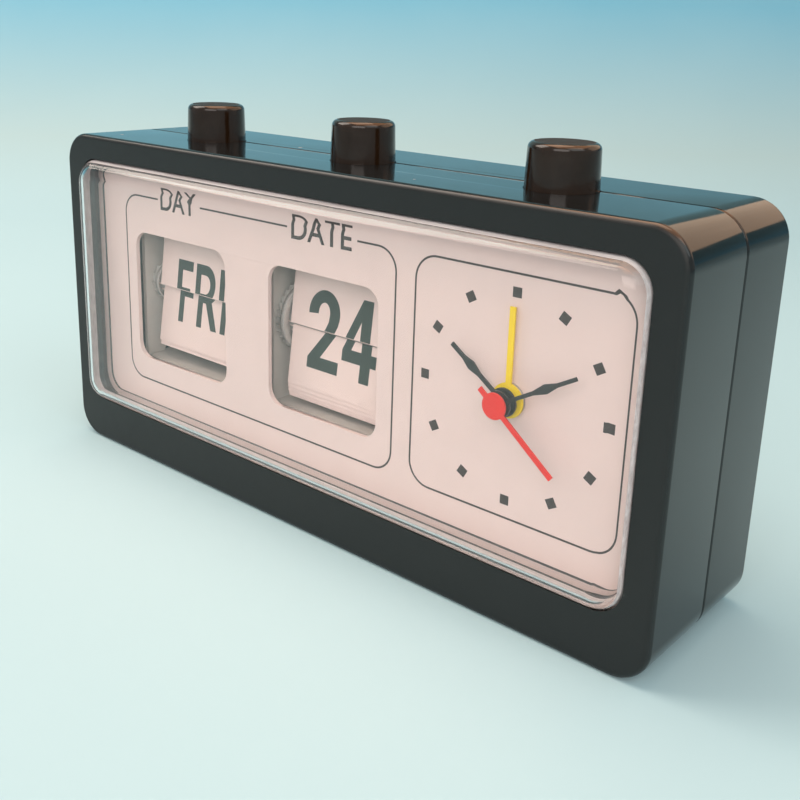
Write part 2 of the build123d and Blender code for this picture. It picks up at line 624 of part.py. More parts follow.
# Small screws: dial to shell, flip frames and movement to dial, bridge to posts
with BuildPart() as inner_screws:
    disc(DIAL_SCREWS, INNER_SCREW_R - SEAT, DIAL_BACK - INNER_SCREW_L, DIAL_BACK)
    disc(DIAL_SCREWS, INNER_SCREW_HEAD_R, DIAL_BACK, DIAL_BACK + INNER_SCREW_HEAD_T)
    disc(FRAME_SCREWS + EAR_SCREWS, INNER_SCREW_R - SEAT, BAR_BACK - INNER_SCREW_L, BAR_BACK)
    disc(FRAME_SCREWS + EAR_SCREWS, INNER_SCREW_HEAD_R, BAR_BACK, BAR_BACK + INNER_SCREW_HEAD_T)
    upright(post_places, INNER_SCREW_R - SEAT, BRIDGE_Z, BRIDGE_Z + INNER_SCREW_L)
    upright(post_places, INNER_SCREW_HEAD_R, BRIDGE_Z - INNER_SCREW_HEAD_T, BRIDGE_Z)
save(inner_screws, "inner_screws")


def helix_point(middle, low, pitch, turn):
    """Point and unit tangent of a button spring after a number of turns."""
    angle = 2 * math.pi * turn
    point = Vector(middle[0] + SPRING_R * math.cos(angle), middle[1] + SPRING_R * math.sin(angle),
                   low + pitch * turn)
    rise = pitch / (2 * math.pi)
    tangent = Vector(-SPRING_R * math.sin(angle), SPRING_R * math.cos(angle), rise).normalized()
    return point, tangent


def biarc_joint(start, start_way, end, end_way):
    """Meeting point and shared tangent of the two arcs that join two tangent points."""
    chord = end - start
    both = start_way + end_way
    spread = 2 * (1 - start_way.dot(end_way))
    along = chord.dot(both)
    reach = (math.sqrt(along ** 2 + spread * chord.dot(chord)) - along) / spread
    first = start + start_way * reach
    second = end - end_way * reach
    return (first + second) * (1 / 2), second - first


def make_button(name, x, stem_low):
    """A hollow cap with a retaining flange under the case top and a guide stem."""
    axis_y = y_at(BUTTON_DEPTH)
    cap_in = BUTTON_TOP_R - BUTTON_WALL
    outline = [(0, stem_low), (STEM_R, stem_low), (STEM_R, BUTTON_ROOF_Z), (cap_in, BUTTON_ROOF_Z),
               (cap_in, FLANGE_LOW_Z), (BUTTON_FLANGE_R, FLANGE_LOW_Z), (BUTTON_FLANGE_R, FLANGE_TOP_Z),
               (BUTTON_R, FLANGE_TOP_Z), (BUTTON_R, CASE_H), (BUTTON_TOP_R, BUTTON_TOP_Z),
               (0, BUTTON_TOP_Z)]
    with BuildPart() as button:
        with BuildSketch(Plane(origin=(x, axis_y, 0), x_dir=(1, 0, 0), z_dir=FORWARD)):
            with BuildLine():
                Polyline(*outline, close=True)
            make_face()
        revolve(axis=Axis((x, axis_y, 0), (0, 0, 1)))
        fillet(button.edges().filter_by(GeomType.CIRCLE).sort_by(Axis.Z)[-1], BUTTON_EDGE_R)
    save(button, name)


def make_spring(name, x):
    """A return spring of round wire between the bridge and the roof of a button."""
    middle = (x, y_at(BUTTON_DEPTH))
    low = BRIDGE_TOP_Z + SPRING_WIRE_R + SEAT
    pitch = (BUTTON_ROOF_Z - SPRING_WIRE_R - SEAT - low) / SPRING_TURNS
    quarters = [helix_point(middle, low, pitch, i / 4) for i in range(4 * SPRING_TURNS + 1)]
    with BuildPart() as spring:
        with BuildLine() as wire:
            for (start, start_way), (end, end_way) in zip(quarters, quarters[1:]):
                joint, joint_way = biarc_joint(start, start_way, end, end_way)
                TangentArc(start, joint, tangent=start_way)
                TangentArc(joint, end, tangent=joint_way)
        with BuildSketch(Plane(origin=quarters[0][0], z_dir=quarters[0][1])):
            Circle(SPRING_WIRE_R)
        sweep(path=wire.line)
    save(spring, name)
    return pitch - 2 * SPRING_WIRE_R


for button_name, button_x, button_stem in (("day_button", DAY_X, STEM_Z), ("date_button", DATE_X, STEM_Z),
                                           ("snooze_button", CLOCK_X, SNOOZE_STEM_Z)):
    make_button(button_name, button_x, button_stem)
for spring_name, spring_x in (("day_spring", DAY_X), ("date_spring", DATE_X), ("snooze_spring", CLOCK_X)):
    print(spring_name, "least gap between turns", round(make_spring(spring_name, spring_x), 3))


# Bridge under the buttons: guides the stems and carries the springs
with BuildPart() as button_bridge:
    with BuildSketch(Plane.XY.offset(BRIDGE_Z)):
        with Locations(((DAY_X + CLOCK_X) / 2, y_at(BUTTON_DEPTH))):
            Rectangle(CLOCK_X - DAY_X + 2 * BRIDGE_OVERHANG, BRIDGE_D)
        with Locations(*button_places):
            Circle(STEM_R + RUN, mode=Mode.SUBTRACT)
        with Locations(*post_places):
            Circle(INNER_SCREW_R + FIT, mode=Mode.SUBTRACT)
    extrude(amount=BRIDGE_T)
save(button_bridge, "button_bridge")


# Flat push switch on top of the movement, met by the snooze stem at the end of its travel
with BuildPart() as snooze_switch:
    switch_top = SNOOZE_STEM_Z - BUTTON_TRAVEL - RUN
    switch_body_top = (MOVEMENT_TOP_Z + switch_top) / 2
    with BuildSketch(Plane.XY.offset(MOVEMENT_TOP_Z)):
        with Locations((CLOCK_X, y_at(BUTTON_DEPTH))):
            Rectangle(SWITCH_W, SWITCH_W)
    extrude(amount=switch_body_top - MOVEMENT_TOP_Z)
    upright([(CLOCK_X, y_at(BUTTON_DEPTH))], SWITCH_BUTTON_R, switch_body_top, switch_top)
save(snooze_switch, "snooze_switch")


# Flip counters
def make_frame(name, x, axis_depth):
    """Two side plates that carry the drum, two bars that meet the dial's bosses, and a shelf."""
    low = FRAME_Z_LOW - FRAME_BAR_H / 2
    high = FRAME_Z_HIGH + FRAME_BAR_H / 2
    rear = axis_depth + FRAME_REAR
    front_back = BAR_FRONT + FRAME_FRONT
    cheek = [(BAR_FRONT, low), (front_back, low), (rear, HINGE_Z - FRAME_REAR_SPREAD),
             (rear, HINGE_Z + FRAME_REAR_SPREAD), (front_back, high), (BAR_FRONT, high)]
    middle_x = x + (RIGHT_OUT - LEFT_OUT) / 2
    shelf_top = HINGE_Z - DATE_PIN_CIRCLE_R - LEAF_H - SHELF_GAP
    with BuildPart() as frame:
        crosswise(x - LEFT_OUT, x - LEFT_IN, cheek)
        crosswise(x + RIGHT_IN, x + RIGHT_OUT, cheek)
        for bar_z in (FRAME_Z_LOW, FRAME_Z_HIGH):
            block(LEFT_OUT + RIGHT_OUT, FRAME_BAR_H, (middle_x, bar_z), BAR_FRONT, BAR_BACK)
        block(LEFT_OUT + RIGHT_OUT, SHELF_T, (middle_x, shelf_top - SHELF_T / 2),
              BAR_FRONT, BAR_FRONT + SHELF_D)
        disc([(x, FRAME_Z_LOW), (x, FRAME_Z_HIGH)], INNER_SCREW_R + FIT, BAR_FRONT, BAR_BACK, Mode.SUBTRACT)
        axle([(axis_depth, HINGE_Z)], AXLE_R + RUN, x - LEFT_OUT, x + RIGHT_OUT, Mode.SUBTRACT)
    save(frame, name)


def make_drum(name, x, axis_depth, pin_circle_r, disc_r):
    """An axle with two discs, each grooved on its inner face for the pins of the leaves."""
    middle = [(axis_depth, HINGE_Z)]
    groove_in = pin_circle_r - LEAF_PIN_R - AIR
    groove_out = pin_circle_r + PIN_SETBACK + LEAF_PIN_R + AIR
    with BuildPart() as drum:
        for left, right in ((x - DISC_OUT, x - DISC_IN), (x + DISC_IN, x + DISC_OUT)):
            axle(middle, disc_r, left, right)
        for left, right in ((x - DISC_IN - GROOVE_DEEP, x - DISC_IN),
                            (x + DISC_IN, x + DISC_IN + GROOVE_DEEP)):
            with BuildSketch(Plane.YZ.offset(left)) as groove:
                with Locations((y_at(axis_depth), HINGE_Z)):
                    Circle(groove_out)
                    Circle(groove_in, mode=Mode.SUBTRACT)
            extrude(groove.sketch, amount=right - left, mode=Mode.SUBTRACT)
        axle(middle, groove_in * DRUM_CORE_SHARE, x - DISC_IN, x + DISC_IN)
        axle(middle, AXLE_R, x - LEFT_OUT - AIR, x + RIGHT_OUT + AIR)
    save(drum, name)


def make_ratchet(name, x, axis_depth, teeth, tip_r):
    """A saw-toothed wheel beside the left disc, one tooth for each leaf."""
    step = 2 * math.pi / teeth
    root_r = tip_r * (1 - RATCHET_TOOTH_SHARE)
    outline = [(axis_depth + radius * math.cos(i * step), HINGE_Z + radius * math.sin(i * step))
               for i in range(teeth) for radius in (root_r, tip_r)]
    with BuildPart() as ratchet:
        crosswise(x - RATCHET_OUT, x - DISC_OUT, outline)
        axle([(axis_depth, HINGE_Z)], AXLE_R + SEAT, x - RATCHET_OUT, x - DISC_OUT, Mode.SUBTRACT)
    save(ratchet, name)


def make_detent(name, x, axis_depth, tip_r):
    """A spring blade on the left side plate that lies along the ratchet's teeth."""
    turn = math.radians(DETENT_BEARING)
    reach = tip_r + PAWL_GAP + DETENT_T / 2
    along = DETENT_L * (DETENT_FOOT_SHARE - 1 / 2)
    blade = (axis_depth + reach * math.cos(turn) + along * math.sin(turn),
             HINGE_Z + reach * math.sin(turn) - along * math.cos(turn))
    foot_along = (DETENT_L - DETENT_FOOT) / 2
    foot = (blade[0] + foot_along * math.sin(turn), blade[1] - foot_along * math.cos(turn))
    with BuildPart() as detent:
        for (depth, height), length, outer in ((blade, DETENT_L, RATCHET_OUT),
                                               (foot, DETENT_FOOT, LEFT_IN)):
            with BuildSketch(Plane.YZ.offset(x - outer)) as section:
                with Locations((y_at(depth), height)):
                    Rectangle(length, DETENT_T, rotation=DETENT_BEARING + 90)
            extrude(section.sketch, amount=outer - DISC_OUT)
    save(detent, name)


def leaf_outline(pin, lean, edge):
    """Corners of a leaf seen from the side: lean is its tilt to the rear from straight up."""
    way = (math.sin(math.radians(lean)), math.cos(math.radians(lean)))
    across = (way[1] * LEAF_T / 2, -way[0] * LEAF_T / 2)
    return [(pin[0] + way[0] * run + across[0] * side, pin[1] + way[1] * run + across[1] * side)
            for run, side in ((-edge, -1), (LEAF_H, -1), (LEAF_H, 1), (-edge, 1))]


def make_leaves(name, x, leaves, edge):
    """Printed leaves, each a thin plate with two pins on its hinge line."""
    with BuildPart() as pack:
        with BuildSketch(Plane.YZ.offset(x - LEAF_W / 2)) as plates:
            for pin, lean in leaves:
                with BuildLine():
                    Polyline(*[(y_at(depth), height) for depth, height in leaf_outline(pin, lean, edge)],
                             close=True)
                make_face()
        extrude(plates.sketch, amount=LEAF_W)
        pins = [pin for pin, lean in leaves]
        axle(pins, LEAF_PIN_R, x - LEAF_W / 2 - LEAF_PIN_L, x - LEAF_W / 2)
        axle(pins, LEAF_PIN_R, x + LEAF_W / 2, x + LEAF_W / 2 + LEAF_PIN_L)
    save(pack, name)


def hanging_lean(turn, pin_circle_r):
    """Lean of a leaf that hangs: its foot sways to the front, most where the feet gather in a pack."""
    setback = pin_circle_r * (1 - math.cos(math.radians(min(turn, GATHER_TURN))))
    fade = min(1, (180 - turn) / (180 - GATHER_TURN))
    return 180 + math.degrees(math.asin((HANG_SWAY + GATHER_SHARE * setback) * fade / LEAF_H))


def waiting_leaves(count, axis_depth, pin_circle_r):
    """Pins and leans of all leaves but the front one: hanging below, fanned behind, the next one standing."""
    leaves = []
    for i in range(1, count):
        turn = 360 * i / count
        pin = (axis_depth - pin_circle_r * math.cos(math.radians(turn)),
               HINGE_Z - pin_circle_r * math.sin(math.radians(turn)))
        lean = hanging_lean(turn, pin_circle_r) if turn < 180 else 360 - turn - FAN_LEAD
        leaves.append((pin, PACK_LEAN if i == count - 1 else lean))
    return leaves


def make_pusher(name, x, pivot_depth):
    """An arm on the button's stem, with a leg at the ratchet's side and a pin for the pawl."""
    outer = x - RATCHET_OUT
    pivot_z = HINGE_Z + PAWL_RISE
    stem_y = y_at(BUTTON_DEPTH)
    leg_y = y_at(pivot_depth)
    with BuildPart() as pusher:
        with BuildSketch(Plane.XY.offset(STEM_Z)):
            with Locations((x, stem_y)):
                Circle(COLLAR_R)
            with Locations(((outer + x) / 2, stem_y)):
                Rectangle(x - outer, PUSHER_W)
            with Locations((outer + PUSHER_W / 2, (stem_y + leg_y) / 2)):
                Rectangle(PUSHER_W, leg_y - stem_y + PUSHER_W)
            with Locations((x, stem_y)):
                Circle(STEM_R + SEAT, mode=Mode.SUBTRACT)
        extrude(amount=PUSHER_T)
        half = PUSHER_W / 2
        crosswise(outer, outer + LEG_T, [(pivot_depth - half, pivot_z - PAWL_EYE_R),
                                         (pivot_depth + half, pivot_z - PAWL_EYE_R),
                                         (pivot_depth + half, STEM_Z + PUSHER_T),
                                         (pivot_depth - half, STEM_Z + PUSHER_T)])
        axle([(pivot_depth, pivot_z)], PAWL_PIN_R, outer + LEG_T, outer + LEG_T + RUN + PAWL_T)
    save(pusher, name)


def make_pawl(name, x, pivot_depth):
    """A swinging finger whose front edge stands just off the ratchet's teeth."""
    left = x - RATCHET_OUT + LEG_T + RUN
    pivot_z = HINGE_Z + PAWL_RISE
    front = pivot_depth - PAWL_EYE_R
    with BuildPart() as pawl:
        crosswise(left, left + PAWL_T, [(front, HINGE_Z - PAWL_W), (front + PAWL_W, HINGE_Z - PAWL_W),
                                        (front + PAWL_W, pivot_z), (front, pivot_z)])
        axle([(pivot_depth, pivot_z)], PAWL_EYE_R, left, left + PAWL_T)
        axle([(pivot_depth, pivot_z)], PAWL_PIN_R + RUN, left, left + PAWL_T, Mode.SUBTRACT)
    save(pawl, name)


for unit, unit_x, leaf_count, circle_r, drum_r in (
        ("day", DAY_X, DAY_LEAVES, DAY_PIN_CIRCLE_R, DAY_DISC_R),
        ("date", DATE_X, DATE_LEAVES, DATE_PIN_CIRCLE_R, DATE_DISC_R)):
    drum_depth = HINGE_DEPTH + PIN_SETBACK + circle_r
    pawl_depth = drum_depth + drum_r + PAWL_GAP + PAWL_EYE_R
    make_frame(f"{unit}_frame", unit_x, drum_depth)
    make_drum(f"{unit}_drum", unit_x, drum_depth, circle_r, drum_r)
    make_ratchet(f"{unit}_ratchet", unit_x, drum_depth, leaf_count, drum_r)
    make_detent(f"{unit}_detent", unit_x, drum_depth, drum_r)
    make_leaves(f"{unit}_leaves", unit_x, waiting_leaves(leaf_count, drum_depth, circle_r), LEAF_EDGE)
    make_leaves(f"{unit}_flip_leaf", unit_x, [((HINGE_DEPTH, HINGE_Z), LEAF_LEAN)], LEAF_PIN_R)
    make_pusher(f"{unit}_pusher", unit_x, pawl_depth)
    make_pawl(f"{unit}_pawl", unit_x, pawl_depth)


# Movement: front tray with the bush and ears, rear plate, and the parts between them
PLAIN_ARBORS = [THIRD_AXIS, STEP_AXIS, ROTOR_AXIS]
SET_ARBORS = [MINUTE_AXIS, ALARM_AXIS]
PIVOT_FRONT = MOVEMENT_INNER - PLATE_T * PIVOT_DEEP_SHARE
MOTOR = layer(7)
STATOR_BACK = MOTOR + STATOR_T / 2
BOARD_BACK = REAR_PLATE_FRONT - BOARD_T
CORE = (ROTOR_AXIS[0], CLOCK_Z + CORE_Z)
STATOR_POSTS = [(ROTOR_AXIS[0] + side * (STATOR_REACH - STATOR_LEG / 2), ROTOR_AXIS[1]) for side in (-1, 1)]
BOARD_MIDDLE = (CLOCK_X, CLOCK_Z - BOARD_DROP)
POST_SMALL_R = STATOR_LEG / 2
with BuildPart() as movement_front:
    rounded(MOVEMENT_SIZE, MOVEMENT_SIZE, MOVEMENT_R, CLOCK, MOVEMENT_FRONT, REAR_PLATE_FRONT)
    rounded(MOVEMENT_SIZE - 2 * PLATE_T, MOVEMENT_SIZE - 2 * PLATE_T, MOVEMENT_R - PLATE_T, CLOCK,
            MOVEMENT_INNER, REAR_PLATE_FRONT, Mode.SUBTRACT)
    for ear in EAR_SCREWS:
        block(EAR_L, EAR_L, ear, BAR_FRONT, BAR_BACK)
    disc([CLOCK], BUSH_R, ALARM_HAND_DEPTH + HAND_T / 2 + AIR, MOVEMENT_INNER)
    disc([CLOCK], BUSH_BORE, ALARM_HAND_DEPTH, MOVEMENT_INNER, Mode.SUBTRACT)
    disc(EAR_SCREWS, INNER_SCREW_R + FIT, BAR_FRONT, BAR_BACK, Mode.SUBTRACT)
    disc(PLAIN_ARBORS, ARBOR_R + RUN, PIVOT_FRONT - RUN, MOVEMENT_INNER, Mode.SUBTRACT)
    disc(SET_ARBORS, SET_ARBOR_R + RUN, PIVOT_FRONT - RUN, MOVEMENT_INNER, Mode.SUBTRACT)
save(movement_front, "movement_front")

with BuildPart() as movement_rear:
    rounded(MOVEMENT_SIZE, MOVEMENT_SIZE, MOVEMENT_R, CLOCK, REAR_PLATE_FRONT, MOVEMENT_BACK)
    disc(STATOR_POSTS, POST_SMALL_R, STATOR_BACK, REAR_PLATE_FRONT)
    disc(PLAIN_ARBORS, ARBOR_R + RUN, REAR_PLATE_FRONT, MOVEMENT_BACK, Mode.SUBTRACT)
    disc([CLOCK], SECOND_ARBOR_R + RUN, REAR_PLATE_FRONT, MOVEMENT_BACK, Mode.SUBTRACT)
    disc(SET_ARBORS, SET_ARBOR_R + RUN, REAR_PLATE_FRONT, MOVEMENT_BACK, Mode.SUBTRACT)
save(movement_rear, "movement_rear")

with BuildPart() as stator:
    bore_r = MAGNET_R + STATOR_BORE_GAP
    stator_front = MOTOR - STATOR_T / 2
    block(2 * STATOR_REACH, 2 * (bore_r + STATOR_NECK), ROTOR_AXIS, stator_front, STATOR_BACK)
    leg_low = ROTOR_AXIS[1]
    leg_high = CORE[1] + CORE_W / 2
    for side in (-1, 1):
        block(STATOR_LEG, leg_high - leg_low, (ROTOR_AXIS[0] + side * (STATOR_REACH - STATOR_LEG / 2),
                                               (leg_low + leg_high) / 2), stator_front, STATOR_BACK)
    block(2 * STATOR_REACH, CORE_W, CORE, stator_front, STATOR_BACK)
    disc([ROTOR_AXIS], bore_r, stator_front, STATOR_BACK, Mode.SUBTRACT)
save(stator, "stator")

with BuildPart() as coil:
    block(COIL_L, CORE_W + 2 * COIL_T, CORE, MOTOR - STATOR_T / 2 - COIL_T, STATOR_BACK + COIL_T)
    block(COIL_L, CORE_W + 2 * SEAT, CORE, MOTOR - STATOR_T / 2 - SEAT, STATOR_BACK + SEAT, Mode.SUBTRACT)
save(coil, "coil")

with BuildPart() as circuit_board:
    block(BOARD_W, BOARD_H, BOARD_MIDDLE, BOARD_BACK, REAR_PLATE_FRONT)
    block(CHIP_SIZE, CHIP_SIZE, BOARD_MIDDLE, BOARD_BACK - CHIP_T, BOARD_BACK)
save(circuit_board, "circuit_board")

with BuildPart() as crystal:
    crystal_left = CLOCK_X + CRYSTAL_OFFSET - CRYSTAL_L / 2
    axle([(BOARD_BACK - CRYSTAL_R - SEAT, BOARD_MIDDLE[1])], CRYSTAL_R, crystal_left,
         crystal_left + CRYSTAL_L)
save(crystal, "crystal")

with BuildPart() as rotor:
    disc([ROTOR_AXIS], ARBOR_R, PIVOT_FRONT, MOVEMENT_BACK)
    disc([ROTOR_AXIS], MAGNET_R, MOTOR - MAGNET_T / 2, MOTOR + MAGNET_T / 2)
    gear(ROTOR_AXIS, ROTOR_TEETH, STEP_MODULE, True,
         space_phase(STEP_AXIS, ROTOR_AXIS, ROTOR_TEETH), layer(6))
save(rotor, "rotor")

with BuildPart() as step_wheel:
    disc([STEP_AXIS], ARBOR_R, PIVOT_FRONT, MOVEMENT_BACK)
    gear(STEP_AXIS, STEP_WHEEL_TEETH, STEP_MODULE, False, bearing(STEP_AXIS, ROTOR_AXIS), layer(6))
    gear(STEP_AXIS, STEP_PINION_TEETH, SECOND_MODULE, True,
         space_phase(CLOCK, STEP_AXIS, STEP_PINION_TEETH), layer(5))
save(step_wheel, "step_wheel")

with BuildPart() as second_wheel:
    disc([CLOCK], SECOND_ARBOR_R, SECOND_HAND_DEPTH, MOVEMENT_BACK)
    gear(CLOCK, SECOND_WHEEL_TEETH, SECOND_MODULE, False, bearing(CLOCK, STEP_AXIS), layer(5))
    gear(CLOCK, SECOND_PINION_TEETH, THIRD_MODULE, True,
         space_phase(THIRD_AXIS, CLOCK, SECOND_PINION_TEETH), layer(4))
save(second_wheel, "second_wheel")

with BuildPart() as third_wheel:
    disc([THIRD_AXIS], ARBOR_R, PIVOT_FRONT, MOVEMENT_BACK)
    gear(THIRD_AXIS, THIRD_WHEEL_TEETH, THIRD_MODULE, False, bearing(THIRD_AXIS, CLOCK), layer(4))
    gear(THIRD_AXIS, THIRD_PINION_TEETH, CENTRE_MODULE, True,
         space_phase(CLOCK, THIRD_AXIS, THIRD_PINION_TEETH), layer(3))
save(third_wheel, "third_wheel")

with BuildPart() as centre_wheel:
    gear(CLOCK, CENTRE_WHEEL_TEETH, CENTRE_MODULE, False, bearing(CLOCK, THIRD_AXIS), layer(3))
    disc([CLOCK], MINUTE_PIPE_R + RUN, layer(3) - WHEEL_T, layer(3) + WHEEL_T, Mode.SUBTRACT)
save(centre_wheel, "centre_wheel")

with BuildPart() as cannon_pinion:
    disc([CLOCK], MINUTE_PIPE_R, MINUTE_HAND_DEPTH - HAND_T / 2 - PIPE_PROUD, layer(3) + WHEEL_T / 2 + RUN)
    gear(CLOCK, CANNON_TEETH, MOTION_MODULE, True, bearing(CLOCK, MINUTE_AXIS), layer(2))
    disc([CLOCK], MINUTE_PIPE_BORE, 0, layer(4), Mode.SUBTRACT)
save(cannon_pinion, "cannon_pinion")

with BuildPart() as minute_wheel:
    disc([MINUTE_AXIS], SET_ARBOR_R, PIVOT_FRONT, KNOB_SOCKET_END)
    gear(MINUTE_AXIS, MINUTE_WHEEL_TEETH, MOTION_MODULE, False,
         space_phase(CLOCK, MINUTE_AXIS, MINUTE_WHEEL_TEETH), layer(2))
    gear(MINUTE_AXIS, MINUTE_PINION_TEETH, HOUR_MODULE, True,
         space_phase(CLOCK, MINUTE_AXIS, MINUTE_PINION_TEETH), layer(1))
save(minute_wheel, "minute_wheel")

with BuildPart() as hour_wheel:
    disc([CLOCK], HOUR_PIPE_R, HOUR_HAND_DEPTH - HAND_T / 2 - PIPE_PROUD, layer(1) + WHEEL_T / 2)
    gear(CLOCK, HOUR_WHEEL_TEETH, HOUR_MODULE, False, bearing(CLOCK, MINUTE_AXIS), layer(1))
    disc([CLOCK], HOUR_PIPE_BORE, 0, layer(2), Mode.SUBTRACT)
save(hour_wheel, "hour_wheel")

with BuildPart() as alarm_wheel:
    disc([CLOCK], ALARM_PIPE_R, ALARM_HAND_DEPTH - HAND_T / 2 - PIPE_PROUD, layer(0) + WHEEL_T / 2)
    gear(CLOCK, ALARM_WHEEL_TEETH, MOTION_MODULE, False, bearing(CLOCK, ALARM_AXIS), layer(0))
    disc([CLOCK], ALARM_PIPE_BORE, 0, layer(1), Mode.SUBTRACT)
save(alarm_wheel, "alarm_wheel")

with BuildPart() as alarm_arbor:
    disc([ALARM_AXIS], SET_ARBOR_R, PIVOT_FRONT, KNOB_SOCKET_END)
    gear(ALARM_AXIS, ALARM_PINION_TEETH, MOTION_MODULE, True,
         space_phase(CLOCK, ALARM_AXIS, ALARM_PINION_TEETH), layer(0))
save(alarm_arbor, "alarm_arbor")


def turned(points, angle):
    """Points of a hand drawn pointing up, turned clockwise about the clock's centre."""
    sine = math.sin(math.radians(angle))
    cosine = math.cos(math.radians(angle))
    return [(CLOCK_X + x * cosine + y * sine, CLOCK_Z - x * sine + y * cosine) for x, y in points]


def flat_hand(outline, angle, hub_r, depth):
    """A hand's blade and hub, one sheet thick."""
    with BuildSketch(facing(depth + HAND_T / 2)) as sheet:
        with BuildLine():
            Polyline(*turned(outline, angle), close=True)
        make_face()
        with Locations(CLOCK):
            Circle(hub_r)
    extrude(sheet.sketch, amount=HAND_T)


def spindle(length, width):
    """A narrow blade that swells to a lozenge and ends in a narrow tip."""
    half = width / 2
    neck = half * HAND_NECK_SHARE
    side = [(neck, 0), (neck, length * HAND_LOW_SHARE), (half, length * HAND_BELLY_SHARE),
            (neck, length * HAND_HIGH_SHARE), (neck, length)]
    return side + [(-x, y) for x, y in reversed(side)]


def strip(length, width, tail):
    """A straight blade with a tail behind the hub."""
    half = width / 2
    return [(-half, -tail), (-half, length), (half, length), (half, -tail)]


for hand, outline, hand_angle, hand_hub_r, hand_depth, hand_bore in (
        ("minute_hand", spindle(MINUTE_HAND_L, MINUTE_HAND_W), MINUTE_ANGLE, MINUTE_HUB_R,
         MINUTE_HAND_DEPTH, MINUTE_PIPE_R),
        ("hour_hand", spindle(HOUR_HAND_L, HOUR_HAND_W), HOUR_ANGLE, HOUR_HUB_R,
         HOUR_HAND_DEPTH, HOUR_PIPE_R),
        ("alarm_hand", strip(ALARM_HAND_L, ALARM_HAND_W, 0), ALARM_ANGLE, ALARM_HUB_R,
         ALARM_HAND_DEPTH, ALARM_PIPE_R)):
    with BuildPart() as pipe_hand:
        flat_hand(outline, hand_angle, hand_hub_r, hand_depth)
        disc([CLOCK], hand_bore + SEAT, hand_depth - HAND_T, hand_depth + HAND_T, Mode.SUBTRACT)
    save(pipe_hand, hand)

with BuildPart() as second_hand:
    hub_end = MINUTE_HAND_DEPTH - HAND_T / 2 - PIPE_PROUD - FIT
    flat_hand(strip(SECOND_HAND_L, SECOND_HAND_W, SECOND_TAIL_L), SECOND_ANGLE, SECOND_DISC_R,
              SECOND_HAND_DEPTH)
    disc([CLOCK], SECOND_ARBOR_R + PIPE_WALL, SECOND_HAND_DEPTH, hub_end)
    disc([CLOCK], SECOND_ARBOR_R + SEAT, SECOND_HAND_DEPTH - SEAT, hub_end, Mode.SUBTRACT)
save(second_hand, "second_hand")


# Setting knobs on the back, ribbed round the rim
for knob_name, knob_axis in (("time_knob", MINUTE_AXIS), ("alarm_knob", ALARM_AXIS)):
    with BuildPart() as knob:
        disc([knob_axis], KNOB_R, KNOB_FRONT, KNOB_BACK)
        fillet(knob.edges().group_by(Axis.Y)[-1], KNOB_EDGE_R)
        with BuildSketch(facing(KNOB_BACK + OVERRUN)) as grooves:
            with Locations(knob_axis):
                with PolarLocations(KNOB_R, KNOB_GROOVES):
                    Circle(KNOB_GROOVE_R)
        extrude(grooves.sketch, amount=KNOB_BACK - KNOB_FRONT + 2 * OVERRUN, mode=Mode.SUBTRACT)
        disc([knob_axis], SET_ARBOR_R + SEAT, KNOB_FRONT, KNOB_SOCKET_END + SEAT, Mode.SUBTRACT)
    save(knob, knob_name)


# Alarm slide switch and the buzzer behind the back wall
with BuildPart() as alarm_switch:
    nub_x = ALARM_SWITCH_X - SLIDER_TRAVEL / 2
    lip_back = REAR_INNER - RUN
    block(SLIDER_NUB_W, SLIDER_NUB_H, (nub_x, ALARM_SWITCH_Z),
          lip_back - SLIDER_T, CASE_D + SLIDER_NUB_PROUD)
    block(SLIDER_NUB_W + 2 * SLIDER_LIP, SLIDER_NUB_H + 2 * SLIDER_LIP, (nub_x, ALARM_SWITCH_Z),
          lip_back - SLIDER_T, lip_back)
save(alarm_switch, "alarm_switch")

with BuildPart() as switch_body:
    pocket_w = SLIDER_NUB_W + 2 * SLIDER_LIP + SLIDER_TRAVEL + 2 * FIT
    pocket_h = SLIDER_NUB_H + 2 * (SLIDER_LIP + FIT)
    pocket_floor = REAR_INNER - SLIDER_T - 2 * RUN
    switch_middle = (ALARM_SWITCH_X, ALARM_SWITCH_Z)
    block(pocket_w + 2 * SWITCH_BODY_WALL, pocket_h + 2 * SWITCH_BODY_WALL, switch_middle,
          REAR_INNER - SWITCH_BODY_T, REAR_INNER)
    block(pocket_w, pocket_h, switch_middle, pocket_floor, REAR_INNER, Mode.SUBTRACT)
save(switch_body, "switch_body")

with BuildPart() as buzzer:
    disc([(BUZZER_X, BUZZER_Z)], BUZZER_R, REAR_INNER - BUZZER_T, REAR_INNER)
    disc([(BUZZER_X, BUZZER_Z)], BUZZER_R - WALL, REAR_INNER - BUZZER_T / 2, REAR_INNER, Mode.SUBTRACT)
save(buzzer, "buzzer")


# Battery, its contacts and its door
BATTERY_LEFT = BATTERY_X - BATTERY_L / 2
BATTERY_RIGHT = BATTERY_X + BATTERY_L / 2
TROUGH_LEFT = BATTERY_X - TROUGH_L / 2
TROUGH_RIGHT = BATTERY_X + TROUGH_L / 2
BATTERY_AXIS = (BATTERY_DEPTH, BATTERY_Z)
with BuildPart() as battery:
    axle([BATTERY_AXIS], BATTERY_R, BATTERY_LEFT + BATTERY_NUB_L, BATTERY_RIGHT)
    fillet(battery.edges().filter_by(GeomType.CIRCLE), BATTERY_EDGE_R)
    axle([BATTERY_AXIS], BATTERY_NUB_R, BATTERY_LEFT, BATTERY_LEFT + BATTERY_NUB_L)
save(battery, "battery")

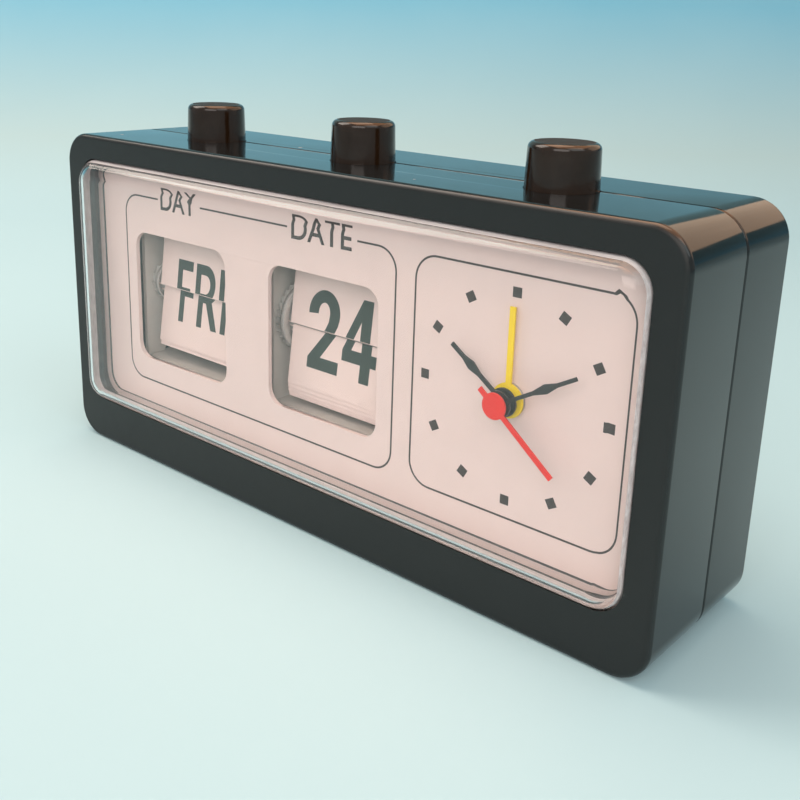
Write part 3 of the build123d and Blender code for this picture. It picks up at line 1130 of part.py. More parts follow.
with BuildPart() as positive_contact:
    half_w = CONTACT_W / 2
    crosswise(TROUGH_LEFT, TROUGH_LEFT + CONTACT_T,
              [(BATTERY_DEPTH - half_w, BATTERY_Z - half_w), (BATTERY_DEPTH + half_w, BATTERY_Z - half_w),
               (BATTERY_DEPTH + half_w, BATTERY_Z + half_w), (BATTERY_DEPTH - half_w, BATTERY_Z + half_w)])
    axle([BATTERY_AXIS], CONTACT_BUMP_R, TROUGH_LEFT + CONTACT_T, BATTERY_LEFT - SEAT)
save(positive_contact, "positive_contact")

with BuildPart() as negative_contact:
    tip_x = BATTERY_RIGHT + SEAT
    plate_x = TROUGH_RIGHT - CONTACT_T
    near_y = y_at(BATTERY_DEPTH - CONTACT_W / 2)
    mid_y = y_at(BATTERY_DEPTH)
    far_y = y_at(BATTERY_DEPTH + CONTACT_W / 2)
    with BuildSketch(Plane.XY.offset(BATTERY_Z - CONTACT_W / 2)):
        with BuildLine():
            Polyline((TROUGH_RIGHT, near_y), (TROUGH_RIGHT, far_y), (plate_x, far_y), (tip_x, mid_y),
                     (tip_x + CONTACT_T, mid_y), (plate_x, far_y - 2 * CONTACT_T), (plate_x, near_y),
                     close=True)
        make_face()
    extrude(amount=CONTACT_W)
save(negative_contact, "negative_contact")

with BuildPart() as battery_door:
    block(DOOR_W - 2 * FIT, DOOR_H - 2 * FIT, (BATTERY_X, BATTERY_Z), REAR_INNER, CASE_D)
    for groove in range(DOOR_GRIPS):
        grip_x = BATTERY_X + DOOR_W / 2 - DOOR_GRIP_INSET - groove * DOOR_GRIP_PITCH
        block(DOOR_GRIP_W, DOOR_H / 2, (grip_x, BATTERY_Z), CASE_D - DOOR_GRIP_DEEP, CASE_D, Mode.SUBTRACT)
save(battery_door, "battery_door")
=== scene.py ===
import bmesh
import bpy
import json
import math
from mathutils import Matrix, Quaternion, Vector


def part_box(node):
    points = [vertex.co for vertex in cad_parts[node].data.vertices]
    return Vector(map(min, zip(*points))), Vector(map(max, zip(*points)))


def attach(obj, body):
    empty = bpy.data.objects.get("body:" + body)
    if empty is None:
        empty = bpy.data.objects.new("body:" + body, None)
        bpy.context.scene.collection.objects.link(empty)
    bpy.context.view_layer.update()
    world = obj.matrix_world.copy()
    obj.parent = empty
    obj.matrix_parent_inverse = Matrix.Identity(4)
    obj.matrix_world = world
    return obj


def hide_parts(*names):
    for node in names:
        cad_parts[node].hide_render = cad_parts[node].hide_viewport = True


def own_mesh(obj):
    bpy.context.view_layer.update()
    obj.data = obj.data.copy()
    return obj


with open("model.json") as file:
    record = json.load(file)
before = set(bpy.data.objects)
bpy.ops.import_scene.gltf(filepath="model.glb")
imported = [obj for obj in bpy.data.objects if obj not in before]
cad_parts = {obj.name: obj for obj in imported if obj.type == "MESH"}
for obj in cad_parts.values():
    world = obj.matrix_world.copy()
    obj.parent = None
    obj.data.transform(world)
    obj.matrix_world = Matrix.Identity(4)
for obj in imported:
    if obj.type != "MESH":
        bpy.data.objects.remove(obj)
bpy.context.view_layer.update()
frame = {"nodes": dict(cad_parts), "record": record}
nodes = frame["nodes"]

# Sizes in millimetres, in the part's own frame: X right, Y to the back, Z up.
# A depth is a distance behind the front face of the case.
MM = 0.001
FRONT_Y = -20.2
DIAL_DEPTH = 6.3
CLOCK_X, CLOCK_Z = 50.1, 42.95
INK = 0.02

# The front of the case is satin up to the first depth and polished from the second
SATIN_DEPTH, POLISH_DEPTH = 0.15, 0.55
TOP_SKIN = 0.02
CELL_NUB_L, CELL_BAND_L, CELL_BLEND = 1.2, 15.0, 0.2

# Lens: a tray with a rounded border, whose outside is wider along the top
LENS_W, LENS_H, LENS_Z, LENS_R, LENS_LEAST_R = 157.9, 63.2, 43.25, 5.85, 0.25
LENS_PROUD, LENS_T = 2.9, 1.2
LENS_FLANGE, FLANGE_FRONT, FLANGE_BACK = 1.75, 2.5, 4.0
BORDER_R, BORDER_INNER_R, BORDER_STEPS = 4.4, 3.2, 36
TOP_SHARE = 1.15
# The border's outer part, up to this turn, carries painted highlight streaks
PAINTED_HIGHLIGHT_TURN = math.radians(32)
LENS_IOR = 1.42
PLASTIC_IOR = 1.5

# Dial print: each frame's left, right, low and high edges and its corner radius
COUNTER_FRAME = (-68.6, 21.4, 18.85, 66.6, 4.8)
CLOCK_FRAME = (26.5, 74.0, 18.9, 66.85, 5.0)
LINE_W, FRAME_STEPS = 0.42, 10
# The counters' frame is open at its two words, and its top line lies between them
WORDS = (("DAY", -54.3, -40.9), ("DATE", -8.5, 9.3))
WORD_LOW, WORD_HIGH, WORD_WEIGHT = 64.2, 69.2, 0.012
FRAME_START, FRAME_END = 10.8, -55.3
TOP_LINE = (-39.3, -9.8)
MARKER_COUNT, MARKER_CIRCLE_R, MARKER_SIDE = 12, 20.4, 1.95

# Leaves, with each counter's shown and following word, the word's foot and the gap between characters
HINGE_DEPTH, HINGE_Z = 12.0, 43.2
LEAF_HALF, LEAF_EDGE, LEAF_H = 0.06, 0.3, 13.3
LEAF_LEAN, PACK_LEAN = math.radians(7.0), math.radians(7.6)
HANG_SWAY, GATHER_SHARE = 1.6, 0.8
COUNTERS = {
    "day": {"x": -47.75, "axis": 16.5, "circle": 3.9, "count": 14,
            "shown": "FRI", "following": "SAT", "foot": 34.8, "gap": 1.3},
    "date": {"x": 0.55, "axis": 18.4, "circle": 5.8, "count": 31,
             "shown": "24", "following": "25", "foot": 34.0, "gap": 0.9},
}
WORD_SHIFT = 0.7
# How far from the hinge line the words are cut, and how the lower half hangs below it
SPLIT_LOW, NEXT_SPLIT, LOWER_DROP = 0.35, 0.2, 0.3
EDGE_INSET, EDGE_LAP = 1.0, 0.05

# Stage, light and camera, in metres and watts
# Paper colours from the floor upwards, each with the height where it is reached
PAPER = ((0.0, (0.56, 0.73, 0.765)), (0.03, (0.51, 0.65, 0.66)), (0.13, (0.21, 0.5, 0.65)),
         (0.3, (0.22, 0.39, 0.43)))
PAPER_MOTTLE = (0.66, 0.82, 0.84)
PAPER_NEAR, PAPER_FAR, PAPER_TOP, PAPER_HALF_W = -1.5, 0.35, 1.6, 2.2
SWEEP_R, SWEEP_STEPS = 0.3, 24
# Each lamp's place, width and height, power, colour, and whether it lights matt surfaces
LAMPS = {
    "upper_left_key": ((-0.57, -0.25, 0.7), (0.5, 0.5), 3.8, (1.0, 0.88, 0.78), True),
    "overhead": ((-0.12, 0.05, 0.8), (0.5, 0.5), 2.4, (1.0, 0.72, 0.54), True),
    "front_fill": ((0.4, -0.9, 0.55), (0.9, 0.6), 4.2, (1.0, 0.92, 0.87), True),
    "right_fill": ((0.65, -0.15, 0.65), (0.6, 0.6), 1.6, (0.92, 1.0, 1.0), True),
    "bronze_card": ((0.25, 0.6, 0.44), (1.0, 0.42), 1.9, (1.0, 0.6, 0.36), False),
    "overhead_card": ((0.1, 0.1, 0.9), (1.1, 1.1), 9.0, (1.0, 0.44, 0.18), False),
}
LAMP_AIM = Vector((0, 0, 0.04))
ROOM_COLOUR, ROOM_STRENGTH = (0.84, 0.97, 1.0, 1.0), 0.46
CAMERA_PLACE = (0.149146, -0.164754, 0.108776)
CAMERA_TURN, CAMERA_RISE, CAMERA_ROLL = math.radians(40.87), math.radians(16.014), math.radians(1.63)
CAMERA_SENSOR, CAMERA_LENS, CAMERA_NEAR = 36.0, 46.134, 0.01
CAMERA_SHIFT_X, CAMERA_SHIFT_Y = 0.01774, -0.10024


def spot(x, depth, z):
    """A point in metres from millimetres across, behind the front face and up."""
    return Vector((x, FRONT_Y + depth, z)) * MM


# Meshes

def placed(name, data):
    """A new object at the origin, in the scene."""
    made = bpy.data.objects.new(name, data)
    bpy.context.scene.collection.objects.link(made)
    return made


def mesh_object(name, points, faces):
    """A mesh object from points in metres."""
    mesh = bpy.data.meshes.new(name)
    mesh.from_pydata([tuple(p) for p in points], [], faces)
    return placed(name, mesh)


def plain_mesh(made):
    """Bakes an object's modifiers or curve into its own plain mesh, shaded as it stands."""
    bpy.context.view_layer.update()
    seen = made.evaluated_get(bpy.context.evaluated_depsgraph_get())
    mesh = bpy.data.meshes.new_from_object(seen)
    name = made.name
    if made.type == "MESH":
        made.modifiers.clear()
        made.data = mesh
        return made
    bpy.data.objects.remove(made)
    return placed(name, mesh)


def smooth(made, degrees):
    """Shades curves smooth, keeps corners sharp and lets flat faces stay flat."""
    mesh = made.data
    mesh.shade_smooth()
    mesh.set_sharp_from_angle(angle=math.radians(degrees))
    weighted = made.modifiers.new("flat faces lead", "WEIGHTED_NORMAL")
    weighted.keep_sharp = True
    weighted.weight = 90
    return plain_mesh(made)


def moulded(node, name, degrees=32.0):
    """A smooth-shaded copy of a CAD node's own surface, which stands for it."""
    made = placed(name, nodes[node].data.copy())
    sheet = bmesh.new()
    sheet.from_mesh(made.data)
    bmesh.ops.remove_doubles(sheet, verts=sheet.verts, dist=1e-6)
    sheet.to_mesh(made.data)
    sheet.free()
    return smooth(made, degrees)


def outward(made):
    """Turns the faces of a closed mesh outwards."""
    sheet = bmesh.new()
    sheet.from_mesh(made.data)
    bmesh.ops.recalc_face_normals(sheet, faces=sheet.faces)
    sheet.to_mesh(made.data)
    sheet.free()


def coat(made, *finishes):
    """Gives a mesh its finishes, with the first one on every face."""
    made.data.materials.clear()
    for finish in finishes:
        made.data.materials.append(finish)


def settle(piece, body, slot, *replaced):
    """Gives a finished piece its body and hides the nodes that it stands for; its slot is not used."""
    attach(piece, body)
    if replaced:
        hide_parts(*replaced)


# Shader parts

def add(tree, kind, **settings):
    """A new node with its properties set."""
    made = tree.nodes.new(kind)
    for key, value in settings.items():
        setattr(made, key, value)
    return made


def join(tree, *pairs):
    """Links pairs of output and input sockets."""
    for out, into in pairs:
        tree.links.new(out, into)


def feed(tree, value, socket):
    """Gives an input socket a number, a colour or another node's output."""
    if isinstance(value, (int, float)):
        socket.default_value = value
    elif isinstance(value, tuple):
        socket.default_value = (*value, 1.0)
    else:
        tree.links.new(value, socket)


def sum_of(tree, operation, first, second):
    """A Math node's output, from two inputs that are sockets or numbers."""
    made = add(tree, "ShaderNodeMath", operation=operation)
    feed(tree, first, made.inputs[0])
    feed(tree, second, made.inputs[1])
    return made.outputs[0]


def spread(tree, value, low, high, to_low=0.0, to_high=1.0):
    """A clamped Map Range of a value."""
    made = add(tree, "ShaderNodeMapRange", clamp=True)
    tree.links.new(value, made.inputs["Value"])
    for name, number in (("From Min", low), ("From Max", high), ("To Min", to_low), ("To Max", to_high)):
        made.inputs[name].default_value = number
    return made.outputs["Result"]


def tint(tree, mask, first, second):
    """Mixes two colours, each a socket or a colour, by a mask."""
    made = add(tree, "ShaderNodeMix", data_type="RGBA")
    tree.links.new(mask, made.inputs["Factor"])
    feed(tree, first, made.inputs[6])
    feed(tree, second, made.inputs[7])
    return made.outputs[2]


def noise(tree, place, scale, detail=3.0, roughness=0.5):
    """A Noise Texture on a place socket; scale and detail are sockets or numbers."""
    made = add(tree, "ShaderNodeTexNoise")
    made.inputs["Roughness"].default_value = roughness
    tree.links.new(place, made.inputs["Vector"])
    feed(tree, scale, made.inputs["Scale"])
    feed(tree, detail, made.inputs["Detail"])
    return made.outputs["Fac"]


def object_place(tree):
    """The place on a piece, in the part's own frame."""
    return add(tree, "ShaderNodeTexCoord").outputs["Object"]


def place_along(tree, axis):
    """The place on a piece along one axis of the part's frame."""
    split = add(tree, "ShaderNodeSeparateXYZ")
    join(tree, (object_place(tree), split.inputs[0]))
    return split.outputs[axis]


def effect(name, inputs, outputs):
    """An empty shader node group with named float inputs and outputs."""
    group = bpy.data.node_groups.new(name, "ShaderNodeTree")
    for label, value in inputs:
        socket = group.interface.new_socket(label, in_out="INPUT", socket_type="NodeSocketFloat")
        socket.default_value = value
    for label in outputs:
        group.interface.new_socket(label, in_out="OUTPUT", socket_type="NodeSocketFloat")
    return group, add(group, "NodeGroupInput"), add(group, "NodeGroupOutput")


def mould_skin():
    """Flow ripple, fine grain and uneven gloss of moulded plastic."""
    group, source, sink = effect("mould skin", (("Ripple Scale", 40.0), ("Grain Scale", 2500.0),
                                                ("Ripple", 1.0), ("Grain", 1.0)),
                                 ("Height", "Shade", "Gloss"))
    place = object_place(group)
    ripple_scale = source.outputs["Ripple Scale"]
    ripple = noise(group, place, ripple_scale, 2.0)
    grain = noise(group, place, source.outputs["Grain Scale"], 4.0, 0.6)
    cloud = noise(group, place, sum_of(group, "MULTIPLY", ripple_scale, 4.0), 5.0, 0.6)
    height = sum_of(group, "ADD", sum_of(group, "MULTIPLY", ripple, source.outputs["Ripple"]),
                    sum_of(group, "MULTIPLY", grain, source.outputs["Grain"]))
    shade = sum_of(group, "ADD", sum_of(group, "MULTIPLY", cloud, 0.6),
                   sum_of(group, "MULTIPLY", grain, 0.4))
    join(group, (height, sink.inputs["Height"]),
         (spread(group, shade, 0.3, 0.7), sink.inputs["Shade"]),
         (spread(group, cloud, 0.3, 0.75), sink.inputs["Gloss"]))
    return group


def dust_specks():
    """Sparse pale specks: small round cells, of which only some are kept."""
    group, source, sink = effect("dust specks", (("Scale", 300.0), ("Kept", 0.1)), ("Mask",))
    cells = add(group, "ShaderNodeTexVoronoi", feature="F1")
    picked = add(group, "ShaderNodeSeparateColor")
    join(group, (object_place(group), cells.inputs["Vector"]),
         (source.outputs["Scale"], cells.inputs["Scale"]), (cells.outputs["Color"], picked.inputs[0]))
    chosen = sum_of(group, "LESS_THAN", picked.outputs[0], source.outputs["Kept"])
    size = sum_of(group, "MULTIPLY", picked.outputs[1], 0.12)
    round_spot = sum_of(group, "LESS_THAN", cells.outputs["Distance"], size)
    join(group, (sum_of(group, "MULTIPLY", chosen, round_spot), sink.inputs["Mask"]))
    return group


def drawn_and_painted_highlight_streaks():
    """Streaks along one axis: real streaks on drawn metal, and painted highlight streaks on the lens rim.
    """
    group, source, sink = effect("drawn and painted highlight streaks", (("Scale X", 900.0), ("Scale Y", 900.0),
                                                   ("Scale Z", 60.0), ("Detail", 5.0)), ("Streak",))
    scale = add(group, "ShaderNodeCombineXYZ")
    stretch = add(group, "ShaderNodeVectorMath", operation="MULTIPLY")
    join(group, (object_place(group), stretch.inputs[0]), (scale.outputs[0], stretch.inputs[1]),
         *((source.outputs["Scale " + axis], scale.inputs[axis]) for axis in "XYZ"))
    streak = noise(group, stretch.outputs[0], 1.0, source.outputs["Detail"], 0.6)
    join(group, (streak, sink.inputs["Streak"]))
    return group


MOULD_SKIN = mould_skin()
DUST_SPECKS = dust_specks()
DRAWN_AND_PAINTED_HIGHLIGHT_STREAKS = drawn_and_painted_highlight_streaks()


def use(tree, group, **values):
    """Places a shared effect in a material, with its own values."""
    made = add(tree, "ShaderNodeGroup", node_tree=group)
    for label, value in values.items():
        made.inputs[label.replace("_", " ").title()].default_value = value
    return made


def finish_of(name):
    """A new material, with its node tree and its Principled shader."""
    made = bpy.data.materials.new(name)
    made.use_nodes = True
    tree = made.node_tree
    tree.nodes.clear()
    shader = add(tree, "ShaderNodeBsdfPrincipled")
    out = add(tree, "ShaderNodeOutputMaterial", name="surface out")
    join(tree, (shader.outputs[0], out.inputs["Surface"]))
    return made, tree, shader


def bump(tree, height, shader, distance, strength=1.0):
    """Feeds a height into a shader's normal."""
    made = add(tree, "ShaderNodeBump")
    made.inputs["Distance"].default_value = distance
    made.inputs["Strength"].default_value = strength
    join(tree, (height, made.inputs["Height"]), (made.outputs[0], shader.inputs["Normal"]))


# Finishes

def plastic(name, dark, light, rough, ripple=1.0, grain=0.0, ripple_scale=30.0, grain_scale=2500.0,
            relief=0.00002, dust=0.0, sheen=0.5):
    """Moulded plastic between two near colours, with ripple, grain, uneven gloss and dust."""
    made, tree, shader = finish_of(name)
    skin = use(tree, MOULD_SKIN, ripple_scale=ripple_scale, grain_scale=grain_scale,
               ripple=ripple, grain=grain)
    colour = tint(tree, skin.outputs["Shade"], dark, light)
    gloss = spread(tree, skin.outputs["Gloss"], 0.0, 1.0, *rough)
    if dust:
        specks = use(tree, DUST_SPECKS, scale=260.0, kept=dust).outputs["Mask"]
        colour = tint(tree, specks, colour, (0.5, 0.5, 0.48))
        gloss = sum_of(tree, "MAXIMUM", gloss, sum_of(tree, "MULTIPLY", specks, 0.8))
    join(tree, (colour, shader.inputs["Base Color"]), (gloss, shader.inputs["Roughness"]))
    shader.inputs["IOR"].default_value = PLASTIC_IOR
    shader.inputs["Specular IOR Level"].default_value = sheen
    bump(tree, skin.outputs["Height"], shader, relief)
    return made


def metal(name, dark, light, rough):
    """Drawn metal, streaked along Z."""
    made, tree, shader = finish_of(name)
    streaks = use(tree, DRAWN_AND_PAINTED_HIGHLIGHT_STREAKS, scale_x=900.0, scale_y=900.0, scale_z=60.0, detail=5.0)
    streak = streaks.outputs["Streak"]
    join(tree, (tint(tree, spread(tree, streak, 0.3, 0.7), dark, light), shader.inputs["Base Color"]),
         (spread(tree, streak, 0.3, 0.7, *rough), shader.inputs["Roughness"]))
    shader.inputs["Metallic"].default_value = 1.0
    bump(tree, streak, shader, 0.000004)
    return made


def case_black():
    """Black case plastic: polished sides with faint flow ripple, a satin front frame and dust."""
    made, tree, shader = finish_of("case_black")
    skin = use(tree, MOULD_SKIN, ripple_scale=26.0, grain_scale=2600.0, ripple=1.0, grain=0.0)
    satin = use(tree, MOULD_SKIN, ripple_scale=90.0, grain_scale=3200.0, ripple=0.0, grain=1.0)
    specks = use(tree, DUST_SPECKS, scale=240.0, kept=0.05).outputs["Mask"]
    front = spread(tree, place_along(tree, "Y"), (FRONT_Y + SATIN_DEPTH) * MM,
                   (FRONT_Y + POLISH_DEPTH) * MM, 1.0, 0.0)
    body = tint(tree, skin.outputs["Shade"], (0.006, 0.0058, 0.0055), (0.011, 0.0108, 0.0105))
    face = tint(tree, satin.outputs["Shade"], (0.003, 0.0032, 0.003), (0.006, 0.0062, 0.006))
    colour = tint(tree, specks, tint(tree, front, body, face), (0.35, 0.36, 0.36))
    polish = spread(tree, skin.outputs["Gloss"], 0.0, 1.0, 0.07, 0.13)
    matt = spread(tree, satin.outputs["Gloss"], 0.0, 1.0, 0.4, 0.48)
    rough = add(tree, "ShaderNodeMix")
    join(tree, (front, rough.inputs["Factor"]), (polish, rough.inputs[2]), (matt, rough.inputs[3]))
    gloss = sum_of(tree, "MAXIMUM", rough.outputs[0], sum_of(tree, "MULTIPLY", specks, 0.7))
    join(tree, (colour, shader.inputs["Base Color"]), (gloss, shader.inputs["Roughness"]))
    shader.inputs["IOR"].default_value = PLASTIC_IOR
    grain = sum_of(tree, "MULTIPLY", sum_of(tree, "MULTIPLY", satin.outputs["Height"], front), 0.1)
    bump(tree, sum_of(tree, "ADD", skin.outputs["Height"], grain), shader, 0.00018, 0.6)
    return made


def painted_highlight_rim():
    """The lens's outer rim: pale pinkish streaks on the clear plastic, partly opaque, are painted highlight
    and reflection.
    """
    made, tree, shader = finish_of("lens_rim_painted_highlight")
    streaks = use(tree, DRAWN_AND_PAINTED_HIGHLIGHT_STREAKS, scale_x=60.0, scale_y=1600.0, scale_z=500.0, detail=4.0)
    streak = streaks.outputs["Streak"]
    colour = tint(tree, spread(tree, streak, 0.35, 0.65), (0.66, 0.58, 0.58), (0.92, 0.86, 0.86))
    join(tree, (colour, shader.inputs["Base Color"]),
         (spread(tree, streak, 0.3, 0.7, 0.1, 0.25), shader.inputs["Roughness"]))
    shader.inputs["Transmission Weight"].default_value = 0.35
    shader.inputs["IOR"].default_value = LENS_IOR
    return made


def clear_plastic():
    """The lens: clear plastic that bends light, with faint smears, and lets lamps through."""
    made, tree, shader = finish_of("lens_clear")
    smear = noise(tree, object_place(tree), 60.0, 4.0, 0.6)
    colour = tint(tree, spread(tree, smear, 0.3, 0.8), (1.0, 1.0, 1.0), (0.97, 0.975, 0.975))
    join(tree, (colour, shader.inputs["Base Color"]),
         (spread(tree, smear, 0.35, 0.75, 0.0, 0.03), shader.inputs["Roughness"]))
    shader.inputs["Transmission Weight"].default_value = 1.0
    shader.inputs["IOR"].default_value = LENS_IOR
    open_way = add(tree, "ShaderNodeBsdfTransparent")
    path = add(tree, "ShaderNodeLightPath")
    both = add(tree, "ShaderNodeMixShader")
    join(tree, (path.outputs["Is Shadow Ray"], both.inputs[0]), (shader.outputs[0], both.inputs[1]),
         (open_way.outputs[0], both.inputs[2]),
         (both.outputs[0], tree.nodes["surface out"].inputs["Surface"]))
    return made


def battery_jacket():
    """A dry cell's sleeve: dark, with a copper-coloured band and bare steel at the positive end."""
    made, tree, shader = finish_of("cell_sleeve")
    skin = use(tree, MOULD_SKIN, ripple_scale=120.0, grain_scale=3000.0, ripple=1.0, grain=0.3)
    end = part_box("battery")[0].x
    across = place_along(tree, "X")
    band, nub = (spread(tree, across, end + (length - CELL_BLEND) * MM, end + length * MM, 1.0, 0.0)
                 for length in (CELL_BAND_L, CELL_NUB_L))
    dark = tint(tree, skin.outputs["Shade"], (0.012, 0.012, 0.013), (0.02, 0.02, 0.022))
    copper = tint(tree, skin.outputs["Shade"], (0.42, 0.2, 0.08), (0.5, 0.25, 0.1))
    sleeve = tint(tree, band, dark, copper)
    join(tree, (tint(tree, nub, sleeve, (0.55, 0.55, 0.54)), shader.inputs["Base Color"]),
         (spread(tree, skin.outputs["Gloss"], 0.0, 1.0, 0.22, 0.36), shader.inputs["Roughness"]),
         (sum_of(tree, "MAXIMUM", nub, sum_of(tree, "MULTIPLY", band, 0.6)), shader.inputs["Metallic"]))
    bump(tree, skin.outputs["Height"], shader, 0.00001)
    return made


FINISHES = {
    "black_gloss": case_black(),
    # The buttons' brown tint is painted warm reflection; their dust specks are real.
    "button_black": plastic("button_black", (0.017, 0.0065, 0.0022), (0.026, 0.011, 0.004), (0.1, 0.19),
                            ripple_scale=70.0, relief=0.0001, dust=0.04),
    "clear_lens": clear_plastic(),
    "dial_print": plastic("dial_pale", (0.76, 0.6, 0.57), (0.8, 0.635, 0.605), (0.42, 0.55),
                          ripple=0.3, grain=1.0, grain_scale=3500.0, relief=0.000008),
    "leaf_plastic": plastic("leaf_pale", (0.81, 0.63, 0.59), (0.85, 0.67, 0.63), (0.38, 0.5),
                            ripple=0.4, grain=1.0, grain_scale=3000.0, relief=0.000006),
    "grey_plastic": plastic("frame_grey", (0.56, 0.51, 0.47), (0.64, 0.59, 0.55), (0.38, 0.52),
                            grain=0.6),
    "white_plastic": plastic("wheel_white", (0.42, 0.4, 0.38), (0.5, 0.48, 0.46), (0.35, 0.5),
                             grain=0.5, relief=0.000015),
    "dark_hand": plastic("hand_dark", (0.018, 0.019, 0.018), (0.03, 0.031, 0.03), (0.35, 0.5),
                         grain=1.0, ripple_scale=200.0, relief=0.000006),
    "red_hand": plastic("hand_red", (0.7, 0.016, 0.01), (0.8, 0.026, 0.016), (0.45, 0.6),
                        grain=1.0, ripple_scale=200.0, relief=0.000006),
    "yellow_hand": plastic("hand_yellow", (0.86, 0.6, 0.004), (0.94, 0.7, 0.012), (0.45, 0.6),
                           grain=1.0, ripple_scale=200.0, relief=0.000006),
    "steel": metal("bright_steel", (0.42, 0.42, 0.42), (0.62, 0.62, 0.61), (0.2, 0.36)),
    "brass": metal("plain_brass", (0.5, 0.33, 0.1), (0.66, 0.46, 0.17), (0.2, 0.34)),
    "board_green": plastic("board_green", (0.015, 0.09, 0.035), (0.025, 0.13, 0.05), (0.3, 0.45),
                           grain=1.0, grain_scale=1800.0, relief=0.00001),
    "battery_jacket": battery_jacket(),
    "knob_black": plastic("knob_black", (0.01, 0.01, 0.0098), (0.018, 0.018, 0.0175), (0.3, 0.45),
                          grain=1.0, dust=0.04),
}
# The button tops keep the buttons' brown tint, painted warm reflection, under a matt finish.
BUTTON_TOP = plastic("button_top", (0.017, 0.0075, 0.003), (0.026, 0.012, 0.005), (0.45, 0.55),
                     grain=1.0, ripple_scale=70.0, dust=0.04, sheen=0.16)
PAINTED_HIGHLIGHT_RIM = painted_highlight_rim()
INK_LINE = plastic("dial_ink", (0.035, 0.026, 0.023), (0.055, 0.042, 0.038), (0.45, 0.6),
                   grain=1.0, ripple_scale=300.0, relief=0.000004)
INK_LEAF = plastic("leaf_ink", (0.022, 0.036, 0.028), (0.034, 0.052, 0.042), (0.4, 0.55),
                   grain=1.0, ripple_scale=300.0, relief=0.000004)

for entry in frame["record"]["subparts"]:
    coat(nodes[entry["node"]], FINISHES[entry["material_slot"]])


# Smooth copies of the moulded pieces that show

SHOWN = {
    "front_shell": ("case", "black_gloss"), "rear_shell": ("case", "black_gloss"),
    "dial_plate": ("case", "dial_print"),
    "day_button": ("day_button", "button_black"), "date_button": ("date_button", "button_black"),
    "snooze_button": ("snooze_button", "button_black"),
    "day_drum": ("day_drum", "white_plastic"), "date_drum": ("date_drum", "white_plastic"),
    "time_knob": ("time_knob", "knob_black"), "alarm_knob": ("alarm_knob", "knob_black"),
    "minute_hand": ("minute_hand", "dark_hand"), "hour_hand": ("hour_hand", "dark_hand"),
    "alarm_hand": ("alarm_hand", "yellow_hand"), "second_hand": ("second_hand", "red_hand"),
    "case_screws": ("case", "steel"),
}


def matt_top(button):
    """Gives the flat top of a button its own matt finish."""
    coat(button, FINISHES["button_black"], BUTTON_TOP)
    highest = max(v.co.z for v in button.data.vertices)
    for face in button.data.polygons:
        if face.center.z > highest - TOP_SKIN * MM:
            face.material_index = 1


for node, (body, slot) in SHOWN.items():
    copy = moulded(node, node + "_moulded")
    coat(copy, FINISHES[slot])
    if slot == "button_black":
        matt_top(copy)
    settle(copy, body, slot, node)


# Return springs, each as a smooth copy with its own mesh

for unit in ("day", "date", "snooze"):
    spring = moulded(unit + "_spring", unit + "_spring_wire", 60.0)
    coat(spring, FINISHES["steel"])
    settle(spring, "case", "steel", unit + "_spring")
    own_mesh(spring)


# Lens

def rounded_loop(half_w, half_h, radius, steps=14):
    """Points of a rounded rectangle about its middle, anticlockwise from its right side."""
    points = []
    for quarter, (sx, sz) in enumerate(((1, 1), (-1, 1), (-1, -1), (1, -1))):
        for i in range(steps + 1):
            turn = math.pi / 2 * (quarter + i / steps)
            points.append((sx * (half_w - radius) + radius * math.cos(turn),
                           sz * (half_h - radius) + radius * math.sin(turn)))
    return points


def lens_profile():
    """Rows of inset, depth, width along the top and finish, from the front's middle over the border
    and the flange to the back, and up inside."""
    turns = [math.pi / 2 * i / BORDER_STEPS for i in range(BORDER_STEPS + 1)]
    border = [(BORDER_R * (1 - math.cos(t)), BORDER_R * (1 - math.sin(t)) - LENS_PROUD,
               TOP_SHARE, int(t < PAINTED_HIGHLIGHT_TURN)) for t in reversed(turns)]
    flange = [(0, FLANGE_FRONT, 1, 1), (-LENS_FLANGE, FLANGE_FRONT, 1, 0),
              (-LENS_FLANGE, FLANGE_BACK, 1, 0), (0, FLANGE_BACK, 1, 0),
              (0, DIAL_DEPTH, 1, 0), (LENS_T, DIAL_DEPTH, 1, 0)]
    inner = [(LENS_T + BORDER_INNER_R * (1 - math.cos(t)),
              LENS_T + BORDER_INNER_R * (1 - math.sin(t)) - LENS_PROUD, 1, 0) for t in turns]
    return border + flange + inner


def lens_tray():
    """The clear tray with its rounded border, closed all round."""
    profile = lens_profile()
    points, faces, finishes = [], [], []
    for inset, depth, wider, _ in profile:
        radius = max(LENS_R - inset, LENS_LEAST_R)
        top = inset * (wider - 1) / 2
        for x, z in rounded_loop(LENS_W / 2 - inset, LENS_H / 2 - inset - top, radius):
            points.append(spot(x, depth, LENS_Z + z - top))
    ring = len(points) // len(profile)
    for row, (_, _, _, finish) in enumerate(profile[:-1]):
        for i in range(ring):
            a, b = row * ring + i, row * ring + (i + 1) % ring
            faces.append((a, b, b + ring, a + ring))
            finishes.append(finish)
    faces.append(tuple(range(ring)))
    faces.append(tuple(reversed(range(len(points) - ring, len(points)))))
    made = mesh_object("lens_tray", points, faces)
    coat(made, FINISHES["clear_lens"], PAINTED_HIGHLIGHT_RIM)
    made.data.polygons.foreach_set("material_index", finishes + [0, 0])
    outward(made)
    settle(smooth(made, 40.0), "case", "clear_lens", "lens")


lens_tray()


# Dial print

